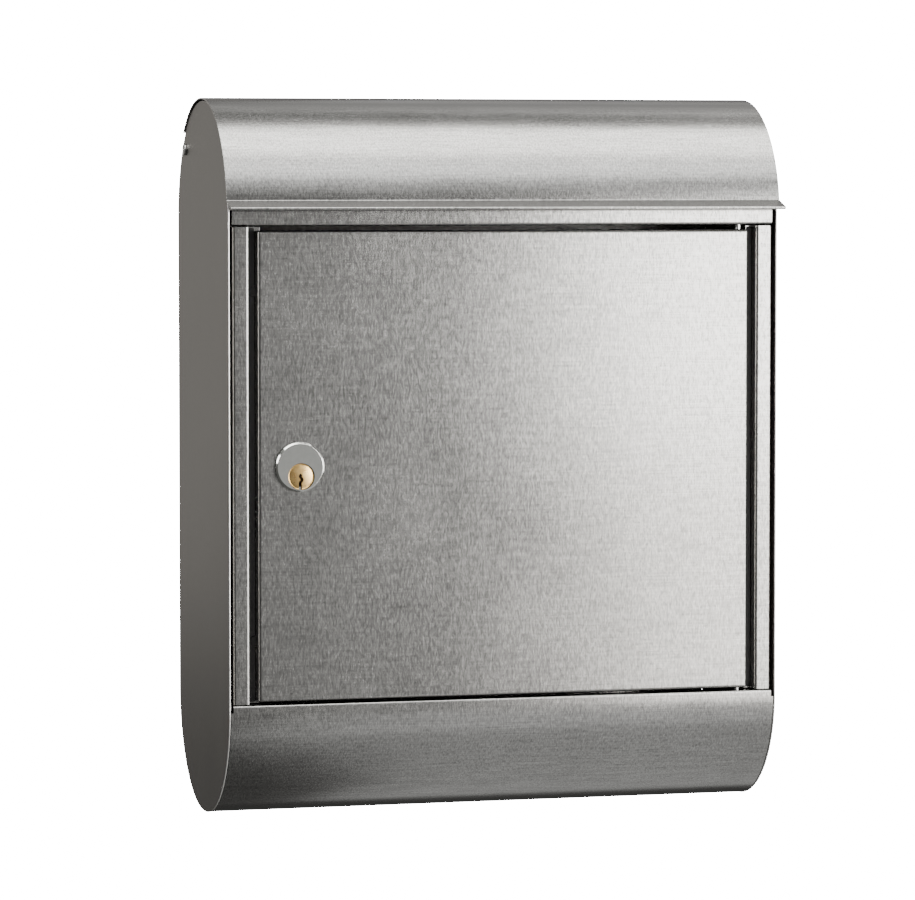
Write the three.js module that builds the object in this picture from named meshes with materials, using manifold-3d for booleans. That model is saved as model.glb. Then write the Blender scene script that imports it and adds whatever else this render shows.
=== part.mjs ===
// A wall letterbox of folded sheet steel: two flat side plates with half-round ends, a half-round bottom
// panel, a curved flap that lifts off the letter slot, and a side-hung door with a cam lock.
// Millimetres. X runs across the front, Y points into the wall and Z points up. The origin is the centre
// of the face that lies on the wall, so the whole box stands at negative Y.
import * as THREE from "three";
import { mergeVertices } from "three/addons/utils/BufferGeometryUtils.js";
import Module from "manifold-3d";

const wasm = await Module();
wasm.setup();

// ---- Overall sizes ----
const bodyWidth = 380; // across the outer faces of the side plates
const bodyHeight = 478; // over the half-round ends of the side plates
const bodyDepth = 155; // from the wall to the front edges of the side plates

// ---- Sheets and clearances ----
const plateSheet = 1.2; // side plates
const panelSheet = 1; // every folded panel
const earSheet = 1.5; // ears, strike plate
const seatGap = 0.3; // between pieces that touch
const foldInside = 1.1; // inside radius of a fold
const tightInside = 0.3; // inside radius of the small folds
const drillGap = 0.3; // round a pin, a lock or a bush in its hole

// ---- Front frame ----
const frontRecess = 1.6; // of the door, the stiles and the rail behind the plates' front edges
const apronRise = 1.9; // top of the apron above the centre of the lower round
const railDrop = 5.5; // bottom of the rail below the centre of the upper round
const railRise = 14; // top of the rail above that centre
const flangeDepth = 12; // rearward folds of the apron and the rail
const railEndGap = 2; // between the rail's or stile's face and the side plate
const stileWidth = 11.5;
const stileFoot = 9; // length of the fold that lies on the side plate
const stopDepth = 10.5; // from the face of the frame to the stop that the door shuts against
const stopWidthLock = 10;
const stopWidthHinge = 4.5;
const frameJoint = 0.6; // between the stiles and the panels above and below them
const cornerNotch = 4.5; // height of the cut at each upper corner of the apron

// ---- Back ----
const sideFlange = 10; // folded along each side plate
const backTailAngle = 110; // how far the back runs over the top, from the wall side
const tailInset = 3; // of the tail inside the plates' outline
const tailEndGap = 6.8; // between the tail and each side plate, for the flap's ears
const tailHem = 8; // fold that stiffens the rear edge of the letter slot
const lapLength = 12; // of the bottom panel inside the back panel
const lapRamp = 3.5;
const lapEndCut = 4; // the lap stops short of the back panel's folds
const wallHoleRadius = 3.5;
const wallHeadRadius = 6.5; // wide end of each upper keyhole
const keyholeDrop = 11;
const wallHoleInsetX = 45; // from the outer face of each side plate
const wallHoleInsetZ = 35; // from the ends of the flat back
const drainRadius = 3;
const drainInset = 70;

// ---- Flap ----
const flapLift = 1; // between the plates' round edges and the flap
const flapOverhang = 1; // past the outer face of each side plate
const flapRearAngle = 45.8; // rear edge, up from the wall side about the centre of the upper round
const lipRise = 10.8; // root of the lip above that centre
const lipReach = 16.2; // of the lip's tip in front of the plates
const lipTipRise = 5.6; // middle of the tip above that centre
const lipReturn = 10.5; // fold under the lip
const lipEndCut = 6; // the fold under the lip stops short of the ends
const lipRootInside = 0.6; // inside radii of the lip's two folds
const lipTipInside = 0.05;
const pivotAngle = 41.2;
const pivotInset = 9; // of the pivot inside the plates' outline
const earGap = 0.8; // between an ear and the side plate
const earEndRadius = 7;
const earFromAngle = 47;
const earToAngle = 78;
const earTab = 10; // fold of the ear under the flap
const flapPinRadius = 2;
const flapPinHeadRadius = 4;
const flapPinHead = 1.4;
const flapPinTail = 2.2; // past the clip
const clipRadius = 4.5;
const clipSheet = 0.8;

// ---- Door ----
const doorSideGap = 5.7; // to the stiles
const doorFootGap = 1.8; // to the apron
const doorHeadGap = 3.2; // to the rail
const doorReturn = 9.5; // depth of the folded edges
const bushFaceGap = 1; // between the bush's flange and the inside of the door's face
const hingePinRadius = 2;
const hingePinHeadRadius = 4;
const hingePinHead = 1.5;
const hingePinGrip = 5; // reach of the pin past the door's folded edge
const bushWall = 1.1;
const bushLength = 5;
const bushFlange = 0.6; // of the bush past its own body
const bufferRadius = 3.5;
const bufferProud = 0.6;
const bufferStem = 2;
const bufferInset = 40; // from the door's upper and lower edges
const sealWidthLock = 5; // of the foam strip between the stile and the door
const sealWidthHinge = 2.8;
const sealThickness = 1.4;
const sealEndGap = 1;

// ---- Lock ----
const lockBackset = 27.8; // lock centre from the door's left edge
const lockFaceWall = 1.11; // of the round face beside the plug, at its thinnest
const lockFaceProud = 2.6;
const lockBevel = 1.2;
const lockFaceLip = 1.5; // of the round face past the lock's body
const lockBodyLength = 20; // behind the door's face
const plugOffsetX = 0.7;
const plugOffsetZ = -6.3;
const plugHeadRadius = 8.75;
const plugHeadDepth = 2.2;
const plugHeadLip = 2.25; // of the plug's head past its shank
const plugTailRadius = 4;
const keyWidth = 1.4;
const keyDepth = 12;
const nutWall = 5.5; // from the thread to a corner of the nut
const nutThickness = 3.5;
const camLength = 40;
const camHubRadius = 8;
const camTipRadius = 6;
const camSheet = 2;
const camGap = 1; // between the cam and the strike plate
const camScrewRadius = 1.8;
const camScrewHeadRadius = 5;
const camScrewHead = 2.5;
const camScrewGrip = 8;
const strikeHeight = 40;
const strikeReach = 8.5; // of the strike behind the stile
const strikeSeat = 5.2;

// ---- Fineness of round work ----
const arcStep = 6; // degrees
const bendSteps = 3;
const roundSteps = 24;
const lockSteps = 40;

// ---- Places that follow from the sizes ----
const bendRadius = foldInside + panelSheet / 2;
const tightBend = tightInside + panelSheet / 2;
const endRadius = bodyDepth / 2;
const roundY = -endRadius; // Y of the centres of both rounds
const topRoundZ = bodyHeight / 2 - endRadius;
const lowRoundZ = -topRoundZ;
const plateInnerX = bodyWidth / 2 - plateSheet;
const panelEndX = plateInnerX - seatGap;
const frameEndX = plateInnerX - railEndGap;
const faceY = -(bodyDepth - frontRecess);
const apronTopZ = lowRoundZ + apronRise;
const railBottomZ = topRoundZ - railDrop;
const stileInnerX = frameEndX - stileWidth;
const stopY = faceY + stopDepth; // front face of the stop
const doorHalfWidth = stileInnerX - doorSideGap;
const doorLowZ = apronTopZ + doorFootGap;
const doorHighZ = railBottomZ - doorHeadGap;
const bushBore = hingePinRadius + drillGap;
const bushRadius = bushBore + bushWall;
const bushFlangeRadius = bushRadius + bushFlange;
const hingeX = doorHalfWidth - panelSheet - seatGap - bushFlangeRadius;
const hingeY = faceY + panelSheet + bushFaceGap + bushFlangeRadius;
const lockFaceRadius = Math.hypot(plugOffsetX, plugOffsetZ) + plugHeadRadius + drillGap + lockFaceWall;
const lockBodyRadius = lockFaceRadius - lockFaceLip;
const plugShankRadius = plugHeadRadius - plugHeadLip;
const lockX = lockBackset - doorHalfWidth;
const lockZ = (doorLowZ + doorHighZ) / 2;
const plugX = lockX + plugOffsetX;
const plugZ = lockZ + plugOffsetZ;
const camFrontY = faceY + lockBodyLength + seatGap;
const flapInnerRadius = endRadius + flapLift;
const flapSkinRadius = flapInnerRadius + panelSheet / 2;
const pivotRadius = endRadius - pivotInset;
const pivotY = roundY + pivotRadius * Math.cos(THREE.MathUtils.degToRad(pivotAngle));
const pivotZ = topRoundZ + pivotRadius * Math.sin(THREE.MathUtils.degToRad(pivotAngle));

// ---- Finishes ----
const finishes = {
  plate: { color: 0x68645d, roughness: 0.55, metalness: 0.7 },
  zinc: { color: 0xa3a39e, roughness: 0.42, metalness: 0.9 },
  inner: { color: 0x8c8c88, roughness: 0.5, metalness: 0.9 },
  polished: { color: 0xb9bcb8, roughness: 0.15, metalness: 1 },
  brass: { color: 0xd7b982, roughness: 0.3, metalness: 1 },
  steel: { color: 0xc4c6c8, roughness: 0.3, metalness: 1 },
  nylon: { color: 0xd9d7cf, roughness: 0.6, metalness: 0 },
  rubber: { color: 0x222222, roughness: 0.9, metalness: 0 },
};

const letterbox = new THREE.Group();

// ---- Solids ----
function solidOf(geometry) {
  const bare = geometry.clone();
  bare.deleteAttribute("normal");
  bare.deleteAttribute("uv");
  const merged = mergeVertices(bare, 1e-4);
  const mesh = new wasm.Mesh({
    numProp: 3,
    vertProperties: merged.attributes.position.array,
    triVerts: new Uint32Array(merged.index.array),
  });
  return new wasm.Manifold(mesh);
}

function geometryOf(solid) {
  const mesh = solid.getMesh();
  const geometry = new THREE.BufferGeometry();
  geometry.setAttribute("position", new THREE.BufferAttribute(mesh.vertProperties, 3));
  geometry.setIndex(new THREE.BufferAttribute(mesh.triVerts, 1));
  geometry.computeVertexNormals();
  return geometry;
}

function join(...geometries) {
  const solids = geometries.map(solidOf);
  return geometryOf(solids.reduce((whole, next) => whole.add(next)));
}

function cut(geometry, ...tools) {
  const solids = tools.map(solidOf);
  return geometryOf(solids.reduce((whole, next) => whole.subtract(next), solidOf(geometry)));
}

function overlapOf(first, second) {
  return geometryOf(solidOf(first).intersect(solidOf(second)));
}

function addPiece(name, geometry, finish, place = [0, 0, 0]) {
  const mesh = new THREE.Mesh(geometry, new THREE.MeshStandardMaterial(finishes[finish]));
  mesh.name = name;
  mesh.position.set(...place);
  letterbox.add(mesh);
  return mesh;
}

// ---- Extrusions: a flat shape pushed along one of the three axes ----
function extrude(shape, length) {
  const options = { depth: length, bevelEnabled: false, curveSegments: roundSteps / 2 };
  return new THREE.ExtrudeGeometry(shape, options);
}

const xAxis = new THREE.Vector3(1, 0, 0);
const yAxis = new THREE.Vector3(0, 1, 0);
const zAxis = new THREE.Vector3(0, 0, 1);

function alongX(shape, low, high) {
  // The shape is drawn in Y and Z.
  const turn = new THREE.Matrix4().makeBasis(yAxis, zAxis, xAxis);
  return extrude(shape, high - low).applyMatrix4(turn).translate(low, 0, 0);
}

function alongY(shape, low, high) {
  // The shape is drawn in X and Z.
  const turn = new THREE.Matrix4().makeBasis(xAxis, zAxis, yAxis.clone().negate());
  return extrude(shape, high - low).applyMatrix4(turn).translate(0, high, 0);
}

function alongZ(shape, low, high) {
  // The shape is drawn in X and Y.
  return extrude(shape, high - low).translate(0, 0, low);
}

function block(lowX, highX, lowY, highY, lowZ, highZ) {
  const box = new THREE.BoxGeometry(highX - lowX, highY - lowY, highZ - lowZ);
  return box.translate((lowX + highX) / 2, (lowY + highY) / 2, (lowZ + highZ) / 2);
}

function rodAlongY(radius, low, high, x, z, steps = roundSteps) {
  const rod = new THREE.CylinderGeometry(radius, radius, high - low, steps);
  return rod.translate(x, (low + high) / 2, z);
}

function rodAlongX(radius, low, high, y, z) {
  const rod = new THREE.CylinderGeometry(radius, radius, high - low, roundSteps);
  return rod.rotateZ(Math.PI / 2).translate((low + high) / 2, y, z);
}

function rodAlongZ(radius, low, high, x, y) {
  const rod = new THREE.CylinderGeometry(radius, radius, high - low, roundSteps);
  return rod.rotateX(Math.PI / 2).translate(x, y, (low + high) / 2);
}

function turned(profile, steps = roundSteps) {
  // A profile of [radius, height] pairs, turned about the Y axis.
  return new THREE.LatheGeometry(profile.map(([r, h]) => new THREE.Vector2(r, h)), steps);
}

// ---- Folded sheet: a mid-line with rounded corners, thickened to both sides ----
function corner(x, y, radius = 0) {
  return { at: new THREE.Vector2(x, y), radius };
}

function arc(centreX, centreY, radius, from, to) {
  const start = THREE.MathUtils.degToRad(from);
  const end = THREE.MathUtils.degToRad(to);
  const curve = new THREE.EllipseCurve(centreX, centreY, radius, radius, start, end, to < from);
  const steps = Math.ceil(Math.abs(to - from) / arcStep);
  return curve.getPoints(steps).map((point) => corner(point.x, point.y));
}

function bend(before, here, after) {
  const back = before.at.clone().sub(here.at).normalize();
  const ahead = after.at.clone().sub(here.at).normalize();
  const halfAngle = Math.acos(back.dot(ahead)) / 2;
  const reach = here.radius / Math.tan(halfAngle);
  const start = here.at.clone().addScaledVector(back, reach);
  const end = here.at.clone().addScaledVector(ahead, reach);
  return new THREE.QuadraticBezierCurve(start, here.at, end).getPoints(bendSteps);
}

function midLine(corners) {
  return corners.flatMap((here, i) =>
    here.radius ? bend(corners[i - 1], here, corners[i + 1]) : [here.at],
  );
}

function sheetShape(corners, thickness) {
  const line = midLine(corners);
  const left = [];
  const right = [];
  line.forEach((point, i) => {
    const before = line[i - 1] ?? point.clone().multiplyScalar(2).sub(line[i + 1]);
    const after = line[i + 1] ?? point.clone().multiplyScalar(2).sub(line[i - 1]);
    const arriving = point.clone().sub(before).normalize();
    const leaving = after.clone().sub(point).normalize();
    const sideways = new THREE.Vector2(-arriving.y, arriving.x);
    const mitre = sideways.clone().add(new THREE.Vector2(-leaving.y, leaving.x)).normalize();
    const reach = thickness / 2 / mitre.dot(sideways);
    left.push(point.clone().addScaledVector(mitre, reach));
    right.unshift(point.clone().addScaledVector(mitre, -reach));
  });
  return new THREE.Shape([...left, ...right]);
}

// ---- Side plates ----
function platePath(radius) {
  const path = [...arc(roundY, topRoundZ, radius, 0, 180), ...arc(roundY, lowRoundZ, radius, 180, 360)];
  return new THREE.Shape(path.map((point) => point.at));
}

function makeSidePlate(name, low) {
  const plate = alongX(platePath(endRadius), 0, plateSheet);
  const pinHole = rodAlongX(flapPinRadius + drillGap, -seatGap, plateSheet + seatGap, pivotY, pivotZ);
  addPiece(name, cut(plate, pinHole), "plate", [low, 0, 0]);
}

// ---- Back panel: flat on the wall, folded along the plates, and carried over the top ----
function keyhole(x, z) {
  const slot = block(x - wallHoleRadius, x + wallHoleRadius, -sideFlange, 1, z - keyholeDrop, z);
  const top = rodAlongY(wallHoleRadius, -sideFlange, 1, x, z);
  const entry = rodAlongY(wallHeadRadius, -sideFlange, 1, x, z - keyholeDrop);
  return join(slot, top, entry);
}

function wallHoles(lowZ, highZ) {
  const holeX = bodyWidth / 2 - wallHoleInsetX;
  return [-holeX, holeX].flatMap((x) => [
    keyhole(x, highZ - wallHoleInsetZ),
    rodAlongY(wallHoleRadius, -sideFlange, 1, x, lowZ + wallHoleInsetZ),
  ]);
}

function makeBackPanel() {
  const half = panelSheet / 2;
  const edgeX = panelEndX - half;
  const lowZ = lowRoundZ + lapRamp + seatGap + panelSheet;
  const highZ = topRoundZ - lapRamp;
  const section = sheetShape(
    [corner(-edgeX, -sideFlange), corner(-edgeX, -half, bendRadius), corner(edgeX, -half, bendRadius),
      corner(edgeX, -sideFlange)],
    panelSheet,
  );
  const tailRadius = endRadius - tailInset;
  const tail = arc(roundY, topRoundZ, tailRadius, 0, backTailAngle);
  const tip = tail.at(-1).at;
  const inwards = new THREE.Vector2(roundY, topRoundZ).sub(tip).setLength(tailHem);
  tail[tail.length - 1].radius = bendRadius;
  const tailShape = sheetShape(
    [corner(-half, highZ - lapLength), corner(-half, highZ - lapRamp), ...tail,
      corner(tip.x + inwards.x, tip.y + inwards.y)],
    panelSheet,
  );
  const tailEndX = plateInnerX - tailEndGap;
  const whole = join(alongZ(section, lowZ, highZ), alongX(tailShape, -tailEndX, tailEndX));
  addPiece("back_panel", cut(whole, ...wallHoles(lowZ, highZ)), "inner");
}

// ---- Bottom panel: top fold, apron, half-round and the lap inside the back panel ----
function makeBottomPanel() {
  const half = panelSheet / 2;
  const skinRadius = endRadius - seatGap - half;
  const foldZ = apronTopZ - half;
  const lapY = -panelSheet - seatGap - half;
  const shape = sheetShape(
    [corner(roundY - skinRadius + flangeDepth, foldZ), corner(roundY - skinRadius, foldZ, tightBend),
      ...arc(roundY, lowRoundZ, skinRadius, 180, 360),
      corner(lapY, lowRoundZ + lapRamp), corner(lapY, lowRoundZ + lapRamp + lapLength)],
    panelSheet,
  );
  const notchLow = apronTopZ - cornerNotch;
  const notches = [[-panelEndX - 1, -frameEndX], [frameEndX, panelEndX + 1]].map(([low, high]) =>
    block(low, high, -bodyDepth - 1, faceY + flangeDepth + 1, notchLow, apronTopZ + 1),
  );
  const lapCuts = [[-panelEndX - 1, lapEndCut - panelEndX], [panelEndX - lapEndCut, panelEndX + 1]];
  const lapLow = lowRoundZ + lapRamp / 2;
  const lapEnds = lapCuts.map(([low, high]) =>
    block(low, high, lapY - 2 * panelSheet, 1, lapLow, lapLow + lapRamp + lapLength),
  );
  const drainX = bodyWidth / 2 - drainInset;
  const drains = [-drainX, 0, drainX].map((x) =>
    rodAlongZ(drainRadius, -bodyHeight / 2 - 1, -bodyHeight / 2 + 5, x, roundY),
  );
  const pinHole = rodAlongZ(hingePinRadius + drillGap, foldZ - 1, foldZ + 1, hingeX, hingeY);
  const panel = alongX(shape, -panelEndX, panelEndX);
  addPiece("bottom_panel", cut(panel, ...notches, ...lapEnds, ...drains, pinHole), "zinc");
}

// ---- Top rail: a channel that is open to the rear ----
function makeTopRail() {
  const half = panelSheet / 2;
  const frontY = faceY + half;
  const lowZ = railBottomZ + half;
  const highZ = topRoundZ + railRise - half;
  const shape = sheetShape(
    [corner(faceY + flangeDepth, lowZ), corner(frontY, lowZ, bendRadius), corner(frontY, highZ, bendRadius),
      corner(faceY + flangeDepth, highZ)],
    panelSheet,
  );
  const pinHole = rodAlongZ(hingePinRadius + drillGap, lowZ - 1, lowZ + 1, hingeX, hingeY);
  addPiece("top_rail", cut(alongX(shape, -frameEndX, frameEndX), pinHole), "zinc");
}

// ---- Stiles: foot on the plate, face, return and the stop for the door ----
function makeStile(name, side, stopWidth) {
  const half = panelSheet / 2;
  const footX = panelEndX - half;
  const outerX = frameEndX - half;
  const innerX = stileInnerX + half;
  const footFrontY = stopY - panelSheet;
  const frontY = faceY + half;
  const stopMidY = stopY + half;
  const across = [[footX, footFrontY + stileFoot], [footX, footFrontY], [outerX, footFrontY - 3],
    [outerX, frontY, bendRadius], [innerX, frontY, bendRadius], [innerX, stopMidY, tightBend],
    [innerX - stopWidth, stopMidY]];
  const shape = sheetShape(across.map(([x, y, radius]) => corner(side * x, y, radius)), panelSheet);
  const stile = alongZ(shape, apronTopZ + frameJoint, railBottomZ - frameJoint);
  const isLockSide = side < 0;
  const bufferX = side * (innerX - stopWidth / 2 - half);
  const holes = [doorLowZ + bufferInset, doorHighZ - bufferInset].map((z) =>
    rodAlongY(bufferStem + drillGap, stopY - 1, stopY + panelSheet + 1, bufferX, z),
  );
  addPiece(name, isLockSide ? cut(stile, ...holes) : stile, "zinc");
  return bufferX;
}

function makeBuffer(name, x, z) {
  // A rubber button: cap in front of the stop, stem through it and a barb behind.
  const behind = panelSheet + seatGap;
  const barb = bufferStem + 1;
  const profile = [[0, -bufferProud - seatGap], [bufferRadius, -bufferProud - seatGap], [bufferRadius, -seatGap],
    [bufferStem, -seatGap], [bufferStem, behind], [barb, behind], [bufferStem, behind + 2], [0, behind + 2]];
  addPiece(name, turned(profile), "rubber", [x, stopY, z]);
}

function makeSeal(name, side, width) {
  // A foam strip on the stop, in the corner that it makes with the stile's inner fold.
  const outerX = side * (stileInnerX - seatGap);
  const [lowX, highX] = [outerX, outerX - side * width].sort((a, b) => a - b);
  const frontY = stopY - seatGap - sealThickness;
  const lowZ = apronTopZ + frameJoint + sealEndGap;
  const strip = block(lowX, highX, frontY, stopY - seatGap, lowZ, railBottomZ - frameJoint - sealEndGap);
  const clearings = [doorLowZ + bufferInset, doorHighZ - bufferInset].map((z) =>
    rodAlongY(bufferRadius + seatGap, frontY - 1, stopY + 1, bufferX, z),
  );
  addPiece(name, cut(strip, ...clearings), "rubber");
}

// ---- Flap: half-round skin, flared lip, and the fold under the lip ----
function makeFlapShell() {
  const lipAngle = 180 - THREE.MathUtils.radToDeg(Math.asin(lipRise / flapSkinRadius));
  const skin = arc(roundY, topRoundZ, flapSkinRadius, flapRearAngle, lipAngle);
  skin[skin.length - 1].radius = lipRootInside + panelSheet / 2;
  const tipY = -bodyDepth - lipReach + panelSheet / 2;
  const tipZ = topRoundZ + lipTipRise;
  const shape = sheetShape(
    [...skin, corner(tipY, tipZ, lipTipInside + panelSheet / 2), corner(tipY + lipReturn, tipZ - panelSheet)],
    panelSheet,
  );
  const endX = bodyWidth / 2 + flapOverhang;
  const cutLow = tipZ - 3 * panelSheet;
  const cutHigh = tipZ - panelSheet * 0.4;
  const endCuts = [[-endX - 1, -endX + lipEndCut], [endX - lipEndCut, endX + 1]].map(([low, high]) =>
    block(low, high, tipY + panelSheet, tipY + lipReturn + 1, cutLow, cutHigh),
  );
  addPiece("flap_shell", cut(alongX(shape, -endX, endX), ...endCuts), "zinc");
}

function makeFlapEar(name, side) {
  const outerX = plateInnerX - earGap;
  const innerX = outerX - earSheet;
  const seatRadius = flapInnerRadius - seatGap;
  const pivotEnd = arc(pivotY, pivotZ, earEndRadius, 150, 340);
  const webLine = [...arc(roundY, topRoundZ, seatRadius, earFromAngle, earToAngle), ...pivotEnd];
  const web = alongX(new THREE.Shape(webLine.map((point) => point.at)), innerX, outerX);
  const tabLine = arc(roundY, topRoundZ, seatRadius - panelSheet / 2, earFromAngle, earToAngle);
  const tab = alongX(sheetShape(tabLine, panelSheet), innerX - earTab, innerX + earSheet / 2);
  const hole = rodAlongX(flapPinRadius + drillGap, innerX - 1, outerX + 1, pivotY, pivotZ);
  const ear = cut(join(web, tab), hole);
  const placed = side < 0 ? mirrored(ear) : ear;
  addPiece(name, placed, "inner");
}

function mirrored(geometry) {
  // The same solid on the other side of X = 0, with its faces still turned out.
  const copy = geometry.clone().scale(-1, 1, 1);
  const index = copy.index.array;
  for (let i = 0; i < index.length; i += 3) {
    [index[i], index[i + 1]] = [index[i + 1], index[i]];
  }
  copy.computeVertexNormals();
  return copy;
}

function makeFlapPin(sideName, side) {
  // Turned about its own axis; heights run inwards from the outer face of the plate.
  const earInner = plateSheet + earGap + earSheet;
  const tail = earInner + seatGap + clipSheet + flapPinTail;
  const headTop = -seatGap - flapPinHead;
  const chamfer = flapPinHead / 3;
  const pin = [[0, headTop], [flapPinHeadRadius - chamfer, headTop], [flapPinHeadRadius, headTop + chamfer],
    [flapPinHeadRadius, -seatGap], [flapPinRadius, -seatGap], [flapPinRadius, tail], [0, tail]];
  const clipHeight = earInner + seatGap;
  const clipBore = flapPinRadius + drillGap;
  const clip = [[clipBore, clipHeight], [clipRadius, clipHeight], [clipRadius, clipHeight + clipSheet],
    [clipBore, clipHeight + clipSheet], [clipBore, clipHeight]];
  const place = [side * bodyWidth / 2, pivotY, pivotZ];
  const pinMesh = addPiece("flap_pin_" + sideName, turned(pin), "steel", place);
  const clipMesh = addPiece("flap_clip_" + sideName, turned(clip), "steel", place);
  pinMesh.rotation.z = side * Math.PI / 2;
  clipMesh.rotation.z = side * Math.PI / 2;
}

// ---- Door: a pan with four folded edges ----
function softBlock(inset) {
  // The pan's outline, smaller by the inset on every side and rounded along its four front edges.
  const halfX = doorHalfWidth - inset;
  const frontY = faceY + inset;
  const backY = faceY + doorReturn + inset;
  const radius = Math.max(bendRadius + panelSheet / 2 - inset, panelSheet / 4);
  const lowZ = doorLowZ + inset;
  const highZ = doorHighZ - inset;
  const acrossX = midLine([corner(-halfX, backY), corner(-halfX, frontY, radius), corner(halfX, frontY, radius),
    corner(halfX, backY)]);
  const acrossZ = midLine([corner(backY, lowZ), corner(frontY, lowZ, radius), corner(frontY, highZ, radius),
    corner(backY, highZ)]);
  return overlapOf(
    alongZ(new THREE.Shape(acrossX), lowZ, highZ),
    alongX(new THREE.Shape(acrossZ), -halfX, halfX),
  );
}

function makeDoor() {
  const pan = cut(softBlock(0), softBlock(panelSheet));
  const lockHole = rodAlongY(lockBodyRadius + drillGap, faceY - 1, faceY + doorReturn, lockX, lockZ, lockSteps);
  const holes = [doorLowZ, doorHighZ].map((z) =>
    rodAlongZ(bushRadius + drillGap, z - 2 * panelSheet, z + 2 * panelSheet, hingeX, hingeY),
  );
  addPiece("door_skin", cut(pan, lockHole, ...holes), "zinc");
}

function makeHinge(levelName, level) {
  // level is +1 for the pair at the rail and -1 for the pair at the apron.
  // Heights run from the door's folded edge towards the middle of the door.
  const edgeZ = level > 0 ? doorHighZ : doorLowZ;
  const gap = level > 0 ? doorHeadGap : doorFootGap;
  const headSeat = -gap - panelSheet - seatGap;
  const tail = panelSheet + hingePinGrip;
  const pin = [[0, headSeat - hingePinHead], [hingePinHeadRadius, headSeat - hingePinHead],
    [hingePinHeadRadius, headSeat], [hingePinRadius, headSeat], [hingePinRadius, tail], [0, tail]];
  const flangeSeat = panelSheet + seatGap;
  const flangeEnd = flangeSeat + panelSheet;
  const bush = [[bushBore, 0], [bushRadius, 0], [bushRadius, flangeSeat], [bushFlangeRadius, flangeSeat],
    [bushFlangeRadius, flangeEnd], [bushRadius, flangeEnd], [bushRadius, bushLength], [bushBore, bushLength],
    [bushBore, 0]];
  const place = [hingeX, hingeY, edgeZ];
  const pinMesh = addPiece("hinge_pin_" + levelName, turned(pin), "steel", place);
  const bushMesh = addPiece("hinge_bush_" + levelName, turned(bush), "nylon", place);
  pinMesh.rotation.x = -level * Math.PI / 2;
  bushMesh.rotation.x = -level * Math.PI / 2;
}

// ---- Lock ----
function makeLockHousing() {
  const frontY = -lockFaceProud - seatGap;
  const rearY = lockBodyLength;
  const profile = [[0, frontY], [lockFaceRadius - lockBevel, frontY], [lockFaceRadius, frontY + lockBevel],
    [lockFaceRadius, -seatGap], [lockBodyRadius, -seatGap], [lockBodyRadius, rearY], [0, rearY]];
  const seatY = frontY + plugHeadDepth + seatGap;
  const headBore = rodAlongY(plugHeadRadius + drillGap, frontY - 1, seatY, plugOffsetX, plugOffsetZ, lockSteps);
  const shankBore = rodAlongY(plugShankRadius + drillGap, frontY - 1, rearY + 1, plugOffsetX, plugOffsetZ);
  const housing = cut(turned(profile, lockSteps), headBore, shankBore);
  addPiece("lock_housing", housing, "polished", [lockX, faceY, lockZ]);
}

function keyway() {
  // A winding slot from just above the plug's centre down to its rim.
  const low = -plugHeadRadius - 1;
  const half = plugHeadRadius / 2;
  const winding = [corner(0, 1.6), corner(-0.9, 0.2), corner(0.7, -half * 0.45), corner(-0.9, -half * 0.95),
    corner(-0.5, -half * 1.5), corner(-0.5, low)];
  return sheetShape(winding, keyWidth);
}

function makeLockPlug() {
  // Heights run back from the door's face, like the housing's.
  const frontY = -lockFaceProud - seatGap / 2;
  const seatY = frontY + plugHeadDepth;
  const shankEnd = lockBodyLength;
  const tailEnd = lockBodyLength + seatGap + camSheet - seatGap / 2;
  const rim = 0.5;
  const profile = [[0, frontY], [plugHeadRadius - rim, frontY], [plugHeadRadius, frontY + rim],
    [plugHeadRadius, seatY], [plugShankRadius, seatY], [plugShankRadius, shankEnd], [plugTailRadius, shankEnd],
    [plugTailRadius, tailEnd], [0, tailEnd]];
  const slot = alongY(keyway(), frontY - 1, frontY + keyDepth);
  const screwBore = rodAlongY(camScrewRadius + drillGap, tailEnd - camScrewGrip - 1, tailEnd + 1, 0, 0);
  addPiece("lock_plug", cut(turned(profile, lockSteps), slot, screwBore), "brass", [plugX, faceY, plugZ]);
  return tailEnd;
}

function makeCam(screwSeat) {
  const outline = [...arc(0, 0, camHubRadius, 0, 180), ...arc(0, -camLength + camTipRadius, camTipRadius, 180, 360)];
  const bar = alongY(new THREE.Shape(outline.map((point) => point.at)), 0, camSheet);
  const hole = rodAlongY(plugTailRadius + drillGap, -1, camSheet + 1, 0, 0);
  addPiece("lock_cam", cut(bar, hole), "steel", [plugX, camFrontY, plugZ]);
  const seat = Math.max(screwSeat, lockBodyLength + seatGap + camSheet) + seatGap;
  const screw = [[0, seat - camScrewGrip], [camScrewRadius, seat - camScrewGrip], [camScrewRadius, seat],
    [camScrewHeadRadius, seat], [camScrewHeadRadius, seat + camScrewHead], [0, seat + camScrewHead]];
  addPiece("cam_screw", turned(screw), "steel", [plugX, faceY, plugZ]);
}

function makeLockNut() {
  const cornerRadius = lockBodyRadius + nutWall;
  const nut = new THREE.CylinderGeometry(cornerRadius, cornerRadius, nutThickness, 6);
  const frontY = panelSheet + seatGap;
  nut.translate(0, frontY + nutThickness / 2, 0);
  const bore = rodAlongY(lockBodyRadius + drillGap, frontY - 1, frontY + nutThickness + 1, 0, 0, lockSteps);
  addPiece("lock_nut", cut(nut, bore), "steel", [lockX, faceY, lockZ]);
}

function makeStrikePlate() {
  // A step that brings a bearing face level with the cam: seat on the stop, web, and bearing leg.
  const half = earSheet / 2;
  const strikeBend = tightInside + half;
  const seatY = stopY + panelSheet + seatGap + half;
  const bearingY = camFrontY - camGap - half;
  const seatX = stileInnerX + panelSheet / 2 - stopWidthLock;
  const webX = seatX + strikeSeat;
  const shape = sheetShape(
    [corner(-seatX, seatY), corner(-webX, seatY, strikeBend), corner(-webX, bearingY, strikeBend),
      corner(-webX - strikeReach, bearingY)],
    earSheet,
  );
  addPiece("strike_plate", alongZ(shape, plugZ - strikeHeight / 2, plugZ + strikeHeight / 2), "steel");
}

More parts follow.
